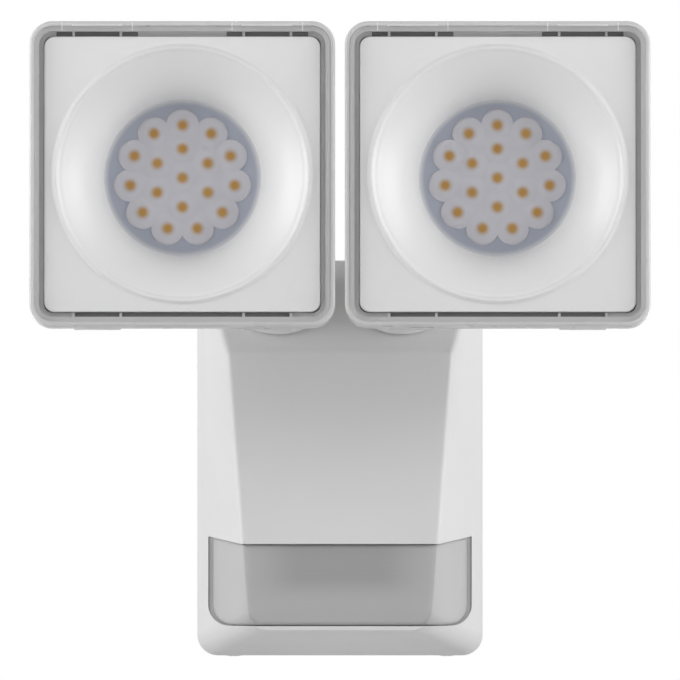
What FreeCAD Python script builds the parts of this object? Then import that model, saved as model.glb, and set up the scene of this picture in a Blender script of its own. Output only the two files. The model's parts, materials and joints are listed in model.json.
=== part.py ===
import FreeCAD, Part
import math
import os
from FreeCAD import Vector

# Motion sensor security light with two square heads, millimetres.
# +X is to the right as seen from the front, +Z is up, and the wall is the plane y = 0.
# "Depth" is the distance in front of the wall, so y = -depth.
# Each head is drawn about its tilt axis, with depth counted forward from that axis.

# ---- wall housing ----
HOUSING_W = 99.0
HOUSING_H = 137.0
STRIP_DEPTH = 18.0      # straight-sided part next to the wall, back plate included
CORNER_R = 7.2
WALL = 2.5
SIDE_DRAFT = 17.7       # degrees, the sides' lean ahead of the strip
SHOULDER_ANGLE = 45.0   # degrees below the horizontal
SHOULDER_H = 31.8       # drop of the shoulder from the top to the knee
FACE_SLOPE = 13.7       # degrees, the face's lean forward towards the bottom
CHIN_RISE = 9.3         # rise of the underside from the strip to the nose
EDGE_R = 2.5

# ---- back plate and what closes the housing on it ----
PLATE_T = 4.0
SEAL_T = 1.0
SEAL_SET_BACK = 0.3     # how far the seal's rim lies inside the outline
RIM_T = 1.5
RIM_H = 3.0
RIM_CLEARANCE = 0.3
WALL_HOLE_R = 2.5
WALL_HOLE_INSET_X = 19.5
WALL_HOLE_INSET_Z = 16.5
LUG_INSET = 12.5        # screw lugs, in from the housing's sides
LUG_W = 9.0
LUG_H = 8.0
LUG_DEPTH = 12.5
HOOK_INSET = 19.5       # hooks, in from the housing's sides
HOOK_W = 12.0
HOOK_T = 2.0

# ---- sensor window and what lies behind it ----
WINDOW_MARGIN = 3.9     # the opening's side, in from the housing's widest outline
WINDOW_RISE = 1.4       # the opening's lower edge above the chin
WINDOW_H = 28.3
WINDOW_CORNER_R = 7.0
WINDOW_TOP_SLOPE = 3.8  # degrees, the top edge climbs towards the wall
LENS_SET_BACK = 1.2
LENS_T = 1.2
LENS_GAP = 0.25
LENS_LIP = 2.0
LENS_SEAT = 0.1
FRAME_T = 1.5
FRAME_W = 3.0
HOLDER_W = 62.0
HOLDER_H = 27.0
HOLDER_RISE = 10.5      # the holder's top above the opening
HOLDER_T = 2.0
HOLDER_SET_BACK = 12.0  # behind the face, level with the opening's top
HOLDER_SCREW_X = 22.0
HOLDER_SCREW_DROP = 5.0
SENSOR_BOARD_H = 14.0
SENSOR_R = 4.6
SENSOR_H = 4.2
PCB_T = 1.6

# ---- driver ----
BOARD_MARGIN = 9.5      # board's sides, in from the housing's sides
BOARD_RISE = 22.5       # board's lower edge above the housing's
BOARD_H = 60.0
POST_H = 8.0
POST_R = 3.0
POST_INSET = 4.0
SCREW_R = 1.4
SCREW_HEAD_R = 2.6
SCREW_HEAD_H = 2.0
BOARD_SCREW_L = 6.5
TRANSFORMER_W = 22.0
TRANSFORMER_H = 18.0
TRANSFORMER_T = 17.0
COIL_W = 14.0
COIL_SET_BACK = 3.0     # coil's ends, in from the core's
CAPACITOR_R = 5.0
CAPACITOR_L = 20.0
CAPACITOR_PITCH = 12.0
CAPACITOR_RISE = 24.0   # capacitors above the board's lower edge
RELAY_W = 19.0
RELAY_H = 15.5
RELAY_T = 15.5
PARTS_RISE = 34.0       # relay and transformer above the board's lower edge
RELAY_INSET = 13.0      # relay, in from the board's side
TERMINAL_X = 14.0
TERMINAL_DROP = 40.5    # terminal block's middle below the housing's top
TERMINAL_W = 32.0
TERMINAL_H = 18.0
TERMINAL_D = 14.0
TERMINAL_POLES = 3
CABLE_X = -24.0
CABLE_DROP = 38.5
CABLE_R = 4.0
GROMMET_R = 9.0

# ---- dials in the underside ----
DIAL_PITCH = 20.0
DIAL_DEPTH = 11.5
DIAL_R = 4.0
DIAL_H = 4.0
DIAL_SET_BACK = 0.3
DIAL_STEM_R = 1.5
DIAL_SLOT_L = 6.4
DIAL_SLOT_W = 1.0
DIAL_SLOT_D = 1.2
RUNNING_GAP = 0.05
POT_SIZE = 9.0
POT_H = 4.0
MOVING_GAP = 0.3

# ---- arms ----
FOOT_X = 21.4
FOOT_DROP = 14.1        # feet's centres below the housing's top
FOOT_R = 17.0
FOOT_H = 5.0
FOOT_SEAL_T = 0.8
FOOT_SEAL_SET_BACK = 0.6
STEM_R = 8.0
STEM_L = 12.0
STEM_BORE_R = 4.5
STEM_GAP = 0.15
LOCK_NUT_FLATS = 21.0
LOCK_NUT_T = 5.0
TUBE_R = 7.0
TUBE_RISE = 11.0        # along the shoulder's normal, to the first bend's corner
TUBE_RUN = 16.0         # level, from the second bend's corner to the pivot
TUBE_BEND_R = 14.0
PIVOT_R = 9.0
PIVOT_H = 16.0

# ---- head joint ----
HEAD_GAP = 3.32         # between the two heads
HEAD_SINK = 26.25       # how far the heads reach down past the housing's top
AXIS_DEPTH = 64.0       # tilt axis in front of the wall
REST_TILT = 3.5         # degrees, upward
PAN_BEHIND = 15.0       # pan axis behind the tilt axis
COLLAR_TOP = 6.0
COLLAR_BOTTOM = -6.0
EYE_R = 8.0
EYE_W = 12.0
WASHER_T = 0.7
BOLT_R = 3.0
BOLT_FLATS = 10.0
BOLT_HEAD_H = 4.0
NUT_T = 5.0
EAR_T = 4.5
THREAD_OUT = 1.5        # bolt past its nut
BRACKET_T = 3.0         # pad of the bracket on the back of the head
BRACKET_GAP = 1.0       # pad to knuckle eye
BRACKET_HALF_W = 19.5
BRACKET_HALF_H = 9.0
BRACKET_R = 3.0
BRACKET_SCREW_X = 16.0

# ---- head ----
HEAD_SIZE = 105.0
HEAD_R = 8.0
HEAD_FRONT = 54.0
PANE_T = 2.0
SKIRT_T = 1.6
SKIRT_L = 14.0
SKIRT_FIT = 0.15
CLIP_X = 29.2
CLIP_W = 16.2
CLIP_POCKET_W = 24.5
CLIP_L = 8.0
CLIP_T = 1.4
GASKET_T = 1.0
RIM_WALL = 1.6
SHOULDER_GAP = 0.2      # skirt's end to the step in the head housing
BODY_WAIST = 22.0
WAIST_INSET = 3.5
WAIST_R = 7.0
BACK_INSET = 20.5
BACK_R = 5.0
FLOOR = 25.0
FLOOR_INSET = 6.3
FLOOR_R = 4.0
FIN_PITCH = 7.0
FIN_SLOT_W = 3.2
FIN_FIRST_X = 22.5
FIN_ROWS = 3
FIN_ROOT = 19.0
GLAND_Z = 17.0
GLAND_R = 4.0

# ---- face plate, funnel and LEDs ----
FACE_GAP = 1.75         # face plate to the head's rim
FACE_R = 3.6
FACE_T = 1.5
FACE_BEHIND_PANE = 1.5
FACE_POST_R = 3.0
FACE_POST_INSET = 6.4
MOUTH_MARGIN = 4.4      # mouth to the face plate's edge
BEAD_R = 0.9
FUNNEL_W = 16.0         # mouth radius less the radius at the LEDs
FUNNEL_DEPTH = 20.0
FUNNEL_SAG = 3.2        # how far the funnel's wall bows inward from a cone
LED_BOARD_RIM = 9.0     # LED board past the funnel's small end
LED_SCREW_INSET = 4.0
LED_SCREWS = 3
HEAD_SCREW_L = 6.0
LED_W = 2.8
LED_H = 3.5
LED_T = 0.7
RING_INSET = 8.85       # outer ring of LEDs, in from the funnel's small end
RING_PITCH = 8.1
INNER_RING_COUNT = 6
OUTER_RING_COUNT = 11
SCALLOP_R = 5.6
LENS_PLATE_T = 1.0
SCALLOP_T = 1.5

CUT = 1.0               # overrun of cutting tools past what they cut

X_AXIS = Vector(1, 0, 0)
Z_AXIS = Vector(0, 0, 1)
FORWARD = Vector(0, -1, 0)

SHOULDER = math.radians(SHOULDER_ANGLE)
FACE = math.radians(FACE_SLOPE)
HALF_W = HOUSING_W / 2
TOP = HOUSING_H / 2
KNEE_Z = TOP - SHOULDER_H
KNEE_DEPTH = STRIP_DEPTH + SHOULDER_H / math.tan(SHOULDER)
CHIN_Z = CHIN_RISE - TOP
NOSE_DEPTH = KNEE_DEPTH + (KNEE_Z - CHIN_Z) * math.tan(FACE)
HOUSING_REAR = PLATE_T + SEAL_T
LUG_X = HALF_W - LUG_INSET
HOOK_X = HALF_W - HOOK_INSET
WINDOW_HALF_W = HALF_W - WINDOW_MARGIN
WINDOW_BOTTOM = CHIN_Z + WINDOW_RISE
WINDOW_TOP = WINDOW_BOTTOM + WINDOW_H
WINDOW_DEPTH = KNEE_DEPTH + (KNEE_Z - WINDOW_TOP) * math.tan(FACE)
HOLDER_TOP = WINDOW_TOP + HOLDER_RISE
HOLDER_BOTTOM = HOLDER_TOP - HOLDER_H
HOLDER_DEPTH = WINDOW_DEPTH - HOLDER_SET_BACK - HOLDER_T
HOLDER_SCREW_Z = HOLDER_TOP - HOLDER_SCREW_DROP
SENSOR_Z = HOLDER_BOTTOM + SENSOR_BOARD_H / 2
BOARD_DEPTH = PLATE_T + POST_H
BOARD_HALF_W = HALF_W - BOARD_MARGIN
BOARD_BOTTOM = BOARD_RISE - TOP
BOARD_TOP = BOARD_BOTTOM + BOARD_H
TERMINAL_Z = TOP - TERMINAL_DROP
CABLE_Z = TOP - CABLE_DROP
FOOT_Z = TOP - FOOT_DROP
HEAD_HALF = HEAD_SIZE / 2
HEAD_X = HEAD_HALF + HEAD_GAP / 2
AXIS_Z = TOP - HEAD_SINK + HEAD_HALF
HEAD_BACK = EYE_R + BRACKET_GAP + BRACKET_T
BACK_HALF = HEAD_HALF - BACK_INSET
RIM_HALF = HEAD_HALF - SKIRT_T - SKIRT_FIT
PANE_BACK = HEAD_FRONT - PANE_T
SKIRT_END = HEAD_FRONT - SKIRT_L
FACE_FRONT = PANE_BACK - FACE_BEHIND_PANE
FACE_HALF = RIM_HALF - RIM_WALL - FACE_GAP
MOUTH_R = FACE_HALF - MOUTH_MARGIN
FUNNEL_R = MOUTH_R - FUNNEL_W
FUNNEL_END = FACE_FRONT - FUNNEL_DEPTH
LED_BOARD_R = FUNNEL_R + LED_BOARD_RIM
LED_SCREW_R = LED_BOARD_R - LED_SCREW_INSET
OUTER_RING_R = FUNNEL_R - RING_INSET
INNER_RING_R = OUTER_RING_R - RING_PITCH
EAR_IN = EYE_W / 2 + MOVING_GAP + WASHER_T
EAR_OUT = EAR_IN + EAR_T
PIVOT_TOP = COLLAR_BOTTOM - WASHER_T - MOVING_GAP
PIVOT_BOTTOM = PIVOT_TOP - PIVOT_H
LED_BOARD_FRONT = FLOOR + PCB_T


# ---- plain shapes ----

def block(x0, x1, depth0, depth1, z0, z1):
    return Part.makeBox(x1 - x0, depth1 - depth0, z1 - z0, Vector(x0, -depth1, z0))


def disc(radius, depth0, depth1, x=0.0, z=0.0):
    return Part.makeCylinder(radius, depth1 - depth0, Vector(x, -depth0, z), FORWARD)


def upright(radius, z0, z1, x=0.0, depth=0.0):
    return Part.makeCylinder(radius, z1 - z0, Vector(x, -depth, z0), Z_AXIS)


def crosswise(radius, x0, x1):
    return Part.makeCylinder(radius, x1 - x0, Vector(x0, 0, 0), X_AXIS)


def hexagon(flats, start, along, thickness):
    """Hexagonal prism from start, along a direction."""
    corner = flats / math.sqrt(3)
    points = [Vector(corner * math.cos(math.radians(60 * i)), corner * math.sin(math.radians(60 * i)), 0)
              for i in range(7)]
    prism = Part.Face(Part.makePolygon(points)).extrude(Vector(0, 0, thickness))
    prism.Placement = FreeCAD.Placement(start, FreeCAD.Rotation(Z_AXIS, along))
    return prism


def rounded_wire(x0, x1, z0, z1, radius, depth):
    """Rectangle with rounded corners, facing forward at one depth."""
    y = -depth
    mid = radius * (1 - math.sqrt(0.5))
    corners = [
        (Vector(x1, y, z0 + radius), Vector(x1 - mid, y, z0 + mid), Vector(x1 - radius, y, z0)),
        (Vector(x0 + radius, y, z0), Vector(x0 + mid, y, z0 + mid), Vector(x0, y, z0 + radius)),
        (Vector(x0, y, z1 - radius), Vector(x0 + mid, y, z1 - mid), Vector(x0 + radius, y, z1)),
        (Vector(x1 - radius, y, z1), Vector(x1 - mid, y, z1 - mid), Vector(x1, y, z1 - radius)),
    ]
    edges = []
    for i, corner in enumerate(corners):
        edges.append(Part.Arc(*corner).toShape())
        edges.append(Part.LineSegment(corner[2], corners[(i + 1) % 4][0]).toShape())
    return Part.Wire(edges)


def square_wire(half, radius, depth):
    return rounded_wire(-half, half, -half, half, radius, depth)


def square_slab(half, radius, depth0, depth1):
    return Part.Face(square_wire(half, radius, depth0)).extrude(FORWARD * (depth1 - depth0))


def square_taper(half0, radius0, depth0, half1, radius1, depth1):
    return Part.makeLoft([square_wire(half0, radius0, depth0), square_wire(half1, radius1, depth1)], True, True)


def joined(shapes):
    return shapes[0].multiFuse(shapes[1:]).removeSplitter()


def meet(point_a, along_a, point_b, along_b):
    """Crossing point of two lines, each given as (depth, z) with a direction."""
    across = along_a[0] * along_b[1] - along_a[1] * along_b[0]
    gap = (point_b[0] - point_a[0], point_b[1] - point_a[1])
    reach = (gap[0] * along_b[1] - gap[1] * along_b[0]) / across
    return (point_a[0] + reach * along_a[0], point_a[1] + reach * along_a[1])


# ---- wall housing ----

def housing_outline(inset, depth):
    """Cross-section of the housing at one depth, moved in by inset."""
    ahead = max(depth - STRIP_DEPTH, 0.0)
    half = HALF_W - ahead * math.tan(math.radians(SIDE_DRAFT)) - inset
    rise = CHIN_RISE * ahead / (NOSE_DEPTH - STRIP_DEPTH)
    return rounded_wire(-half, half, rise - TOP + inset, TOP - inset, CORNER_R - inset, depth)


def side_profile(inset, rear):
    """Housing seen from the side, moved in by inset, as a prism wider than the housing."""
    down_shoulder = (math.cos(SHOULDER), -math.sin(SHOULDER))
    down_face = (math.sin(FACE), -math.cos(FACE))
    shoulder = (STRIP_DEPTH - inset * math.sin(SHOULDER), TOP - inset * math.cos(SHOULDER))
    face = (KNEE_DEPTH - inset * math.cos(FACE), KNEE_Z - inset * math.sin(FACE))
    top = TOP + CUT
    bottom = -top
    points = [
        (rear, bottom),
        (rear, top),
        meet((rear, top), (1, 0), shoulder, down_shoulder),
        meet(shoulder, down_shoulder, face, down_face),
        meet(face, down_face, (rear, bottom), (1, 0)),
    ]
    corners = [Vector(-HOUSING_W, -depth, z) for depth, z in points]
    return Part.Face(Part.makePolygon(corners + corners[:1])).extrude(X_AXIS * (2 * HOUSING_W))


def rounded_core(rear, edge_radius):
    """Block of the drafted sides, shoulder and face, with the edges between them rounded."""
    lean = math.tan(math.radians(SIDE_DRAFT))
    front = NOSE_DEPTH + STRIP_DEPTH
    low = -TOP - CUT
    rear_half = HALF_W + (STRIP_DEPTH - rear) * lean
    front_half = HALF_W - (front - STRIP_DEPTH) * lean
    plan = [
        Vector(-rear_half, -rear, low),
        Vector(rear_half, -rear, low),
        Vector(front_half, -front, low),
        Vector(-front_half, -front, low),
    ]
    wedge = Part.Face(Part.makePolygon(plan + plan[:1])).extrude(Z_AXIS * (TOP - low))
    core = wedge.common(side_profile(0, rear))
    return core.makeFillet(edge_radius, [e for e in core.Edges if is_front_edge(e, rear)])


def is_front_edge(edge, rear):
    """True on the core's edges beside the shoulder and the face, and across it at the top and the knee."""
    middle = edge.valueAt((edge.FirstParameter + edge.LastParameter) / 2)
    across = abs(middle.x) < CUT
    return -middle.y > rear + CUT and middle.z > -TOP and (across or middle.z < TOP - CUT)


def housing_form(inset, rear, edge_radius=0.0):
    """The housing's outer form moved in by inset: strip, drafted sides, shoulder, face and chin."""
    strip = Part.Face(housing_outline(inset, rear)).extrude(FORWARD * (STRIP_DEPTH - rear))
    outlines = [housing_outline(inset, STRIP_DEPTH), housing_outline(inset, NOSE_DEPTH + CUT)]
    drafted = Part.makeLoft(outlines, True, True)
    limit = rounded_core(rear, edge_radius) if edge_radius else side_profile(inset, rear)
    return joined([strip, drafted]).common(limit)


def housing_skin(outer_inset, inner_inset):
    """A layer of the housing's form, ahead of the strip's middle."""
    rear = STRIP_DEPTH / 2
    return housing_form(outer_inset, rear).cut(housing_form(inner_inset, rear - CUT))


def window(grow):
    """The lens opening as a block through the front, ahead of the strip, larger all round by grow."""
    half = WINDOW_HALF_W + grow
    rear = STRIP_DEPTH + LENS_T
    front = NOSE_DEPTH + CUT
    outline = rounded_wire(-half, half, WINDOW_BOTTOM - grow, KNEE_Z, WINDOW_CORNER_R + grow, rear)
    opening = Part.Face(outline).extrude(FORWARD * (front - rear))
    climb = math.tan(math.radians(WINDOW_TOP_SLOPE))
    top_rear = WINDOW_TOP + grow + climb * (WINDOW_DEPTH - rear)
    top_front = WINDOW_TOP + grow - climb * (front - WINDOW_DEPTH)
    below = [(rear, WINDOW_BOTTOM - grow), (rear, top_rear), (front, top_front), (front, WINDOW_BOTTOM - grow)]
    corners = [Vector(-half, -depth, z) for depth, z in below]
    return opening.common(Part.Face(Part.makePolygon(corners + corners[:1])).extrude(X_AXIS * (2 * half)))


def on_foot(side, height):
    """A point on a foot's axis, at a height above the shoulder."""
    depth = STRIP_DEPTH + FOOT_DROP / math.tan(SHOULDER)
    normal = foot_normal()
    return Vector(side * FOOT_X, -depth, FOOT_Z) + normal * height


def foot_normal():
    return Vector(0, -math.sin(SHOULDER), math.cos(SHOULDER))


def foot_disc(side, radius, low, high):
    return Part.makeCylinder(radius, high - low, on_foot(side, low), foot_normal())


def dial_places():
    return [-DIAL_PITCH, 0.0, DIAL_PITCH]


def housing_screw_places():
    return [-LUG_X, LUG_X]


def front_housing():
    shell = housing_form(0, HOUSING_REAR, EDGE_R).cut(housing_form(WALL, HOUSING_REAR - CUT))
    shell = shell.cut(window(0))
    holes = [foot_disc(side, STEM_R + STEM_GAP, -2 * WALL, CUT) for side in (-1, 1)]
    underside = -TOP
    for x in dial_places():
        holes.append(upright(DIAL_R + RUNNING_GAP, underside - CUT, underside + WALL + CUT, x, DIAL_DEPTH))
    recess = underside + SCREW_HEAD_H / 2
    for x in housing_screw_places():
        holes.append(upright(SCREW_R + STEM_GAP, underside - CUT, underside + WALL + CUT, x, DIAL_DEPTH))
        holes.append(upright(SCREW_HEAD_R + MOVING_GAP, underside - CUT, recess, x, DIAL_DEPTH))
    shell = shell.cut(Part.makeCompound(holes))
    return joined([shell] + [hook_rib(side) for side in (-1, 1)] + [holder_boss(side) for side in (-1, 1)])


def hook_rib(side):
    """Rib under the top wall that a hook of the back plate catches."""
    depth = PLATE_T + RIM_H + MOVING_GAP + SEAL_T
    half = HOOK_W / 2 + HOOK_T
    top = TOP - WALL
    return block(side * HOOK_X - half, side * HOOK_X + half, depth, depth + HOOK_T, top - HOOK_T, top + WALL / 2)


def holder_boss(side):
    """Boss on the back of the face that carries the sensor holder."""
    face_depth = KNEE_DEPTH + (KNEE_Z - HOLDER_SCREW_Z) * math.tan(FACE)
    x = side * HOLDER_SCREW_X
    boss = disc(POST_R, HOLDER_DEPTH + HOLDER_T, face_depth - WALL / 2, x, HOLDER_SCREW_Z)
    return boss.cut(disc(SCREW_R, HOLDER_DEPTH, face_depth - WALL - SCREW_R, x, HOLDER_SCREW_Z))


def board_posts():
    """Places of the driver board's four posts."""
    x = BOARD_HALF_W - POST_INSET
    return [(side * x, z) for side in (-1, 1) for z in (BOARD_BOTTOM + POST_INSET, BOARD_TOP - POST_INSET)]


def back_plate():
    plate = Part.Face(housing_outline(0, 0)).extrude(FORWARD * PLATE_T)
    rim_inset = WALL + RIM_CLEARANCE
    rim_outer = Part.Face(housing_outline(rim_inset, PLATE_T)).extrude(FORWARD * RIM_H)
    rim_inner = Part.Face(housing_outline(rim_inset + RIM_T, PLATE_T)).extrude(FORWARD * RIM_H)
    solids = [plate, rim_outer.cut(rim_inner)]
    solids += [disc(POST_R, PLATE_T, BOARD_DEPTH, x, z) for x, z in board_posts()]
    inside_bottom = WALL + RIM_CLEARANCE - TOP
    for side in (-1, 1):
        lug_x = side * LUG_X
        solids.append(block(lug_x - LUG_W / 2, lug_x + LUG_W / 2, PLATE_T, PLATE_T + LUG_DEPTH,
                            inside_bottom, inside_bottom + LUG_H))
        solids.append(hook(side))
        solids.append(dial_shelf(side))
    body = joined(solids)
    wall_x = HALF_W - WALL_HOLE_INSET_X
    wall_z = TOP - WALL_HOLE_INSET_Z
    holes = [disc(WALL_HOLE_R, -CUT, PLATE_T + CUT, sx * wall_x, sz * wall_z) for sx in (-1, 1) for sz in (-1, 1)]
    holes.append(disc(GROMMET_R, -CUT, PLATE_T + CUT, CABLE_X, CABLE_Z))
    holes += [disc(SCREW_R, PLATE_T, BOARD_DEPTH + CUT, x, z) for x, z in board_posts()]
    for x in housing_screw_places():
        holes.append(upright(SCREW_R, inside_bottom - CUT, inside_bottom + LUG_H - WALL, x, DIAL_DEPTH))
    return body.cut(Part.makeCompound(holes))


def hook(side):
    """Tab on the back plate with a lip that stands ahead of the housing's rib."""
    lip_depth = PLATE_T + RIM_H + 2 * MOVING_GAP + SEAL_T + HOOK_T
    top = TOP - WALL - HOOK_T - MOVING_GAP
    x0 = side * HOOK_X - HOOK_W / 2
    tab = block(x0, x0 + HOOK_W, PLATE_T, lip_depth + HOOK_T, top - HOOK_T, top)
    lip = block(x0, x0 + HOOK_W, lip_depth, lip_depth + HOOK_T, top - HOOK_T, top + HOOK_T)
    return joined([tab, lip])


def dial_board_z():
    """Underside of the dial board."""
    return DIAL_SET_BACK + DIAL_H + MOVING_GAP + POT_H - TOP


def dial_shelf(side):
    """Shelf on the back plate under one end of the dial board."""
    x0 = side * (DIAL_PITCH + POT_SIZE / 2 + CUT)
    x1 = side * (LUG_X - LUG_W / 2)
    z = dial_board_z()
    return block(min(x0, x1), max(x0, x1), PLATE_T, DIAL_DEPTH + POT_SIZE / 2, z - RIM_T, z)


def housing_seal():
    outer = Part.Face(housing_outline(SEAL_SET_BACK, PLATE_T)).extrude(FORWARD * SEAL_T)
    return outer.cut(Part.Face(housing_outline(WALL, PLATE_T)).extrude(FORWARD * SEAL_T))


def pan_head_screw(tip, along, length):
    """Screw with a round slotted head, its tip given and its head at the far end."""
    seat = tip + along * length
    shank = Part.makeCylinder(SCREW_R, length, tip, along)
    head = Part.makeCylinder(SCREW_HEAD_R, SCREW_HEAD_H, seat, along)
    slot = Part.makeBox(2 * SCREW_HEAD_R, SCREW_HEAD_H / 4, SCREW_HEAD_H / 2)
    slot.translate(Vector(-SCREW_HEAD_R, -SCREW_HEAD_H / 8, SCREW_HEAD_H / 2))
    slot.Placement = FreeCAD.Placement(seat, FreeCAD.Rotation(Z_AXIS, along)).multiply(slot.Placement)
    return shank.fuse(head).cut(slot)


def housing_screws():
    head_top = SCREW_HEAD_H / 2 - TOP
    tip = WALL + RIM_CLEARANCE - TOP + LUG_H - 2 * WALL
    return Part.makeCompound([pan_head_screw(Vector(x, -DIAL_DEPTH, tip), -Z_AXIS, tip - head_top)
                              for x in housing_screw_places()])


# ---- sensor ----

def sensor_lens():
    """Wrap-round shell with a step and a lip that the clamping frame holds."""
    rear = STRIP_DEPTH / 2
    seat = WALL + LENS_SEAT
    face = housing_form(LENS_SET_BACK, rear).common(window(-LENS_GAP))
    lip = housing_form(seat, rear).common(window(LENS_LIP))
    hollow = housing_form(LENS_SET_BACK + LENS_T, rear - CUT).common(window(-LENS_GAP - LENS_T))
    return joined([face, lip]).cut(hollow).cut(housing_form(seat + LENS_T, rear - CUT))


def lens_frame():
    inset = WALL + LENS_SEAT + LENS_T
    return housing_skin(inset, inset + FRAME_T).common(window(LENS_LIP)).cut(window(-FRAME_W))


def sensor_holder():
    plate = block(-HOLDER_W / 2, HOLDER_W / 2, HOLDER_DEPTH, HOLDER_DEPTH + HOLDER_T, HOLDER_BOTTOM, HOLDER_TOP)
    holes = [disc(SCREW_R + STEM_GAP, HOLDER_DEPTH - CUT, HOLDER_DEPTH + HOLDER_T + CUT, side * HOLDER_SCREW_X,
                  HOLDER_SCREW_Z) for side in (-1, 1)]
    return plate.cut(Part.makeCompound(holes))


def sensor_board():
    depth = HOLDER_DEPTH + HOLDER_T
    return block(-HOLDER_W / 2, HOLDER_W / 2, depth, depth + PCB_T, HOLDER_BOTTOM, HOLDER_BOTTOM + SENSOR_BOARD_H)


def motion_sensor():
    """Metal can with a brim and a square window."""
    base = HOLDER_DEPTH + HOLDER_T + PCB_T
    brim = disc(SENSOR_R, base, base + SENSOR_H / 6, 0, SENSOR_Z)
    can = disc(SENSOR_R - SENSOR_H / 10, base, base + SENSOR_H, 0, SENSOR_Z)
    half = SENSOR_R / 2
    eye = block(-half, half, base + SENSOR_H - PCB_T / 4, base + SENSOR_H + CUT, SENSOR_Z - half, SENSOR_Z + half)
    return joined([brim, can]).cut(eye)


# ---- driver ----

def driver_board():
    board = block(-BOARD_HALF_W, BOARD_HALF_W, BOARD_DEPTH, BOARD_DEPTH + PCB_T, BOARD_BOTTOM, BOARD_TOP)
    holes = [disc(SCREW_R + STEM_GAP, BOARD_DEPTH - CUT, BOARD_DEPTH + PCB_T + CUT, x, z) for x, z in board_posts()]
    return board.cut(Part.makeCompound(holes))


def board_screws():
    """Six alike: four through the driver board from the front, two through the sensor holder from behind."""
    front_tip = BOARD_DEPTH + PCB_T - BOARD_SCREW_L
    rear_tip = HOLDER_DEPTH + BOARD_SCREW_L
    screws = [pan_head_screw(Vector(x, -front_tip, z), FORWARD, BOARD_SCREW_L) for x, z in board_posts()]
    screws += [pan_head_screw(Vector(side * HOLDER_SCREW_X, -rear_tip, HOLDER_SCREW_Z), -FORWARD, BOARD_SCREW_L)
               for side in (-1, 1)]
    return Part.makeCompound(screws)


def on_board(x, rise, width, height, thickness):
    """Block that stands on the driver board, with its left edge at x and its lower edge risen above the board's."""
    front = BOARD_DEPTH + PCB_T
    z = BOARD_BOTTOM + rise
    return block(x, x + width, front, front + thickness, z, z + height)


def transformer():
    """Wound bobbin between the two ends of a ferrite core."""
    x = -BOARD_HALF_W / 2 - TRANSFORMER_W / 2
    core = on_board(x, PARTS_RISE, TRANSFORMER_W, TRANSFORMER_H, TRANSFORMER_T)
    coil_x = x + (TRANSFORMER_W - COIL_W) / 2
    notches = [on_board(coil_x, rise, COIL_W, COIL_SET_BACK + CUT, TRANSFORMER_T + CUT)
               for rise in (PARTS_RISE - CUT, PARTS_RISE + TRANSFORMER_H - COIL_SET_BACK)]
    return core.cut(Part.makeCompound(notches))


def capacitors():
    """Two cans of the smoothing capacitors."""
    front = BOARD_DEPTH + PCB_T
    z = BOARD_BOTTOM + CAPACITOR_RISE
    places = (CAPACITOR_PITCH / 2, CAPACITOR_PITCH * 3 / 2)
    return Part.makeCompound([disc(CAPACITOR_R, front, front + CAPACITOR_L, x, z) for x in places])


def relay():
    return on_board(BOARD_HALF_W - RELAY_INSET - RELAY_W, PARTS_RISE, RELAY_W, RELAY_H, RELAY_T)


def terminal_places():
    pitch = TERMINAL_W / TERMINAL_POLES
    return [TERMINAL_X + (i - (TERMINAL_POLES - 1) / 2) * pitch for i in range(TERMINAL_POLES)]


def terminal_block():
    front = PLATE_T + TERMINAL_D
    body = block(TERMINAL_X - TERMINAL_W / 2, TERMINAL_X + TERMINAL_W / 2, PLATE_T, front,
                 TERMINAL_Z - TERMINAL_H / 2, TERMINAL_Z + TERMINAL_H / 2)
    cuts = []
    for x in terminal_places():
        cuts.append(upright(SCREW_HEAD_R, TERMINAL_Z - TERMINAL_H, TERMINAL_Z + TERMINAL_H, x,
                            PLATE_T + TERMINAL_D / 3))
        for z in (TERMINAL_Z - TERMINAL_H / 4, TERMINAL_Z + TERMINAL_H / 4):
            cuts.append(disc(SCREW_HEAD_R, front - TERMINAL_D / 3, front + CUT, x, z))
    return body.cut(Part.makeCompound(cuts))


def terminal_screws():
    low = PLATE_T + TERMINAL_D * 2 / 3
    return Part.makeCompound([disc(SCREW_HEAD_R, low, low + SCREW_HEAD_H, x, TERMINAL_Z + side * TERMINAL_H / 4)
                              for x in terminal_places() for side in (-1, 1)])


def cable_grommet():
    """Rubber bush with a flange inside the plate and a tapered nose."""
    nose_l = PLATE_T
    bush = disc(GROMMET_R, 0, PLATE_T, CABLE_X, CABLE_Z)
    flange = disc(GROMMET_R + HOOK_T, PLATE_T, PLATE_T + RIM_T, CABLE_X, CABLE_Z)
    nose_base = Vector(CABLE_X, -PLATE_T, CABLE_Z)
    nose = Part.makeCone(GROMMET_R - HOOK_T, CABLE_R + RIM_T, nose_l, nose_base, FORWARD)
    return joined([bush, flange, nose]).cut(disc(CABLE_R, -CUT, PLATE_T + nose_l + CUT, CABLE_X, CABLE_Z))


# ---- dials ----

def dial(x):
    """Knob with a screwdriver slot, its stem passing through the potentiometer and the board."""
    low = DIAL_SET_BACK - TOP
    knob = upright(DIAL_R, low, low + DIAL_H, x, DIAL_DEPTH)
    stem = upright(DIAL_STEM_R, low + DIAL_H - CUT, dial_board_z() + PCB_T + CUT, x, DIAL_DEPTH)
    slot = Part.makeBox(DIAL_SLOT_L, DIAL_SLOT_W, DIAL_SLOT_D + CUT)
    slot.translate(Vector(x - DIAL_SLOT_L / 2, -DIAL_DEPTH - DIAL_SLOT_W / 2, low - CUT))
    return joined([knob, stem]).cut(slot)


def dial_board():
    z = dial_board_z()
    half = LUG_X - LUG_W / 2
    board = block(-half, half, PLATE_T + RIM_H, DIAL_DEPTH + POT_SIZE / 2, z, z + PCB_T)
    holes = [upright(DIAL_STEM_R + STEM_GAP, z - CUT, z + PCB_T + CUT, x, DIAL_DEPTH) for x in dial_places()]
    return board.cut(Part.makeCompound(holes))


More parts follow.
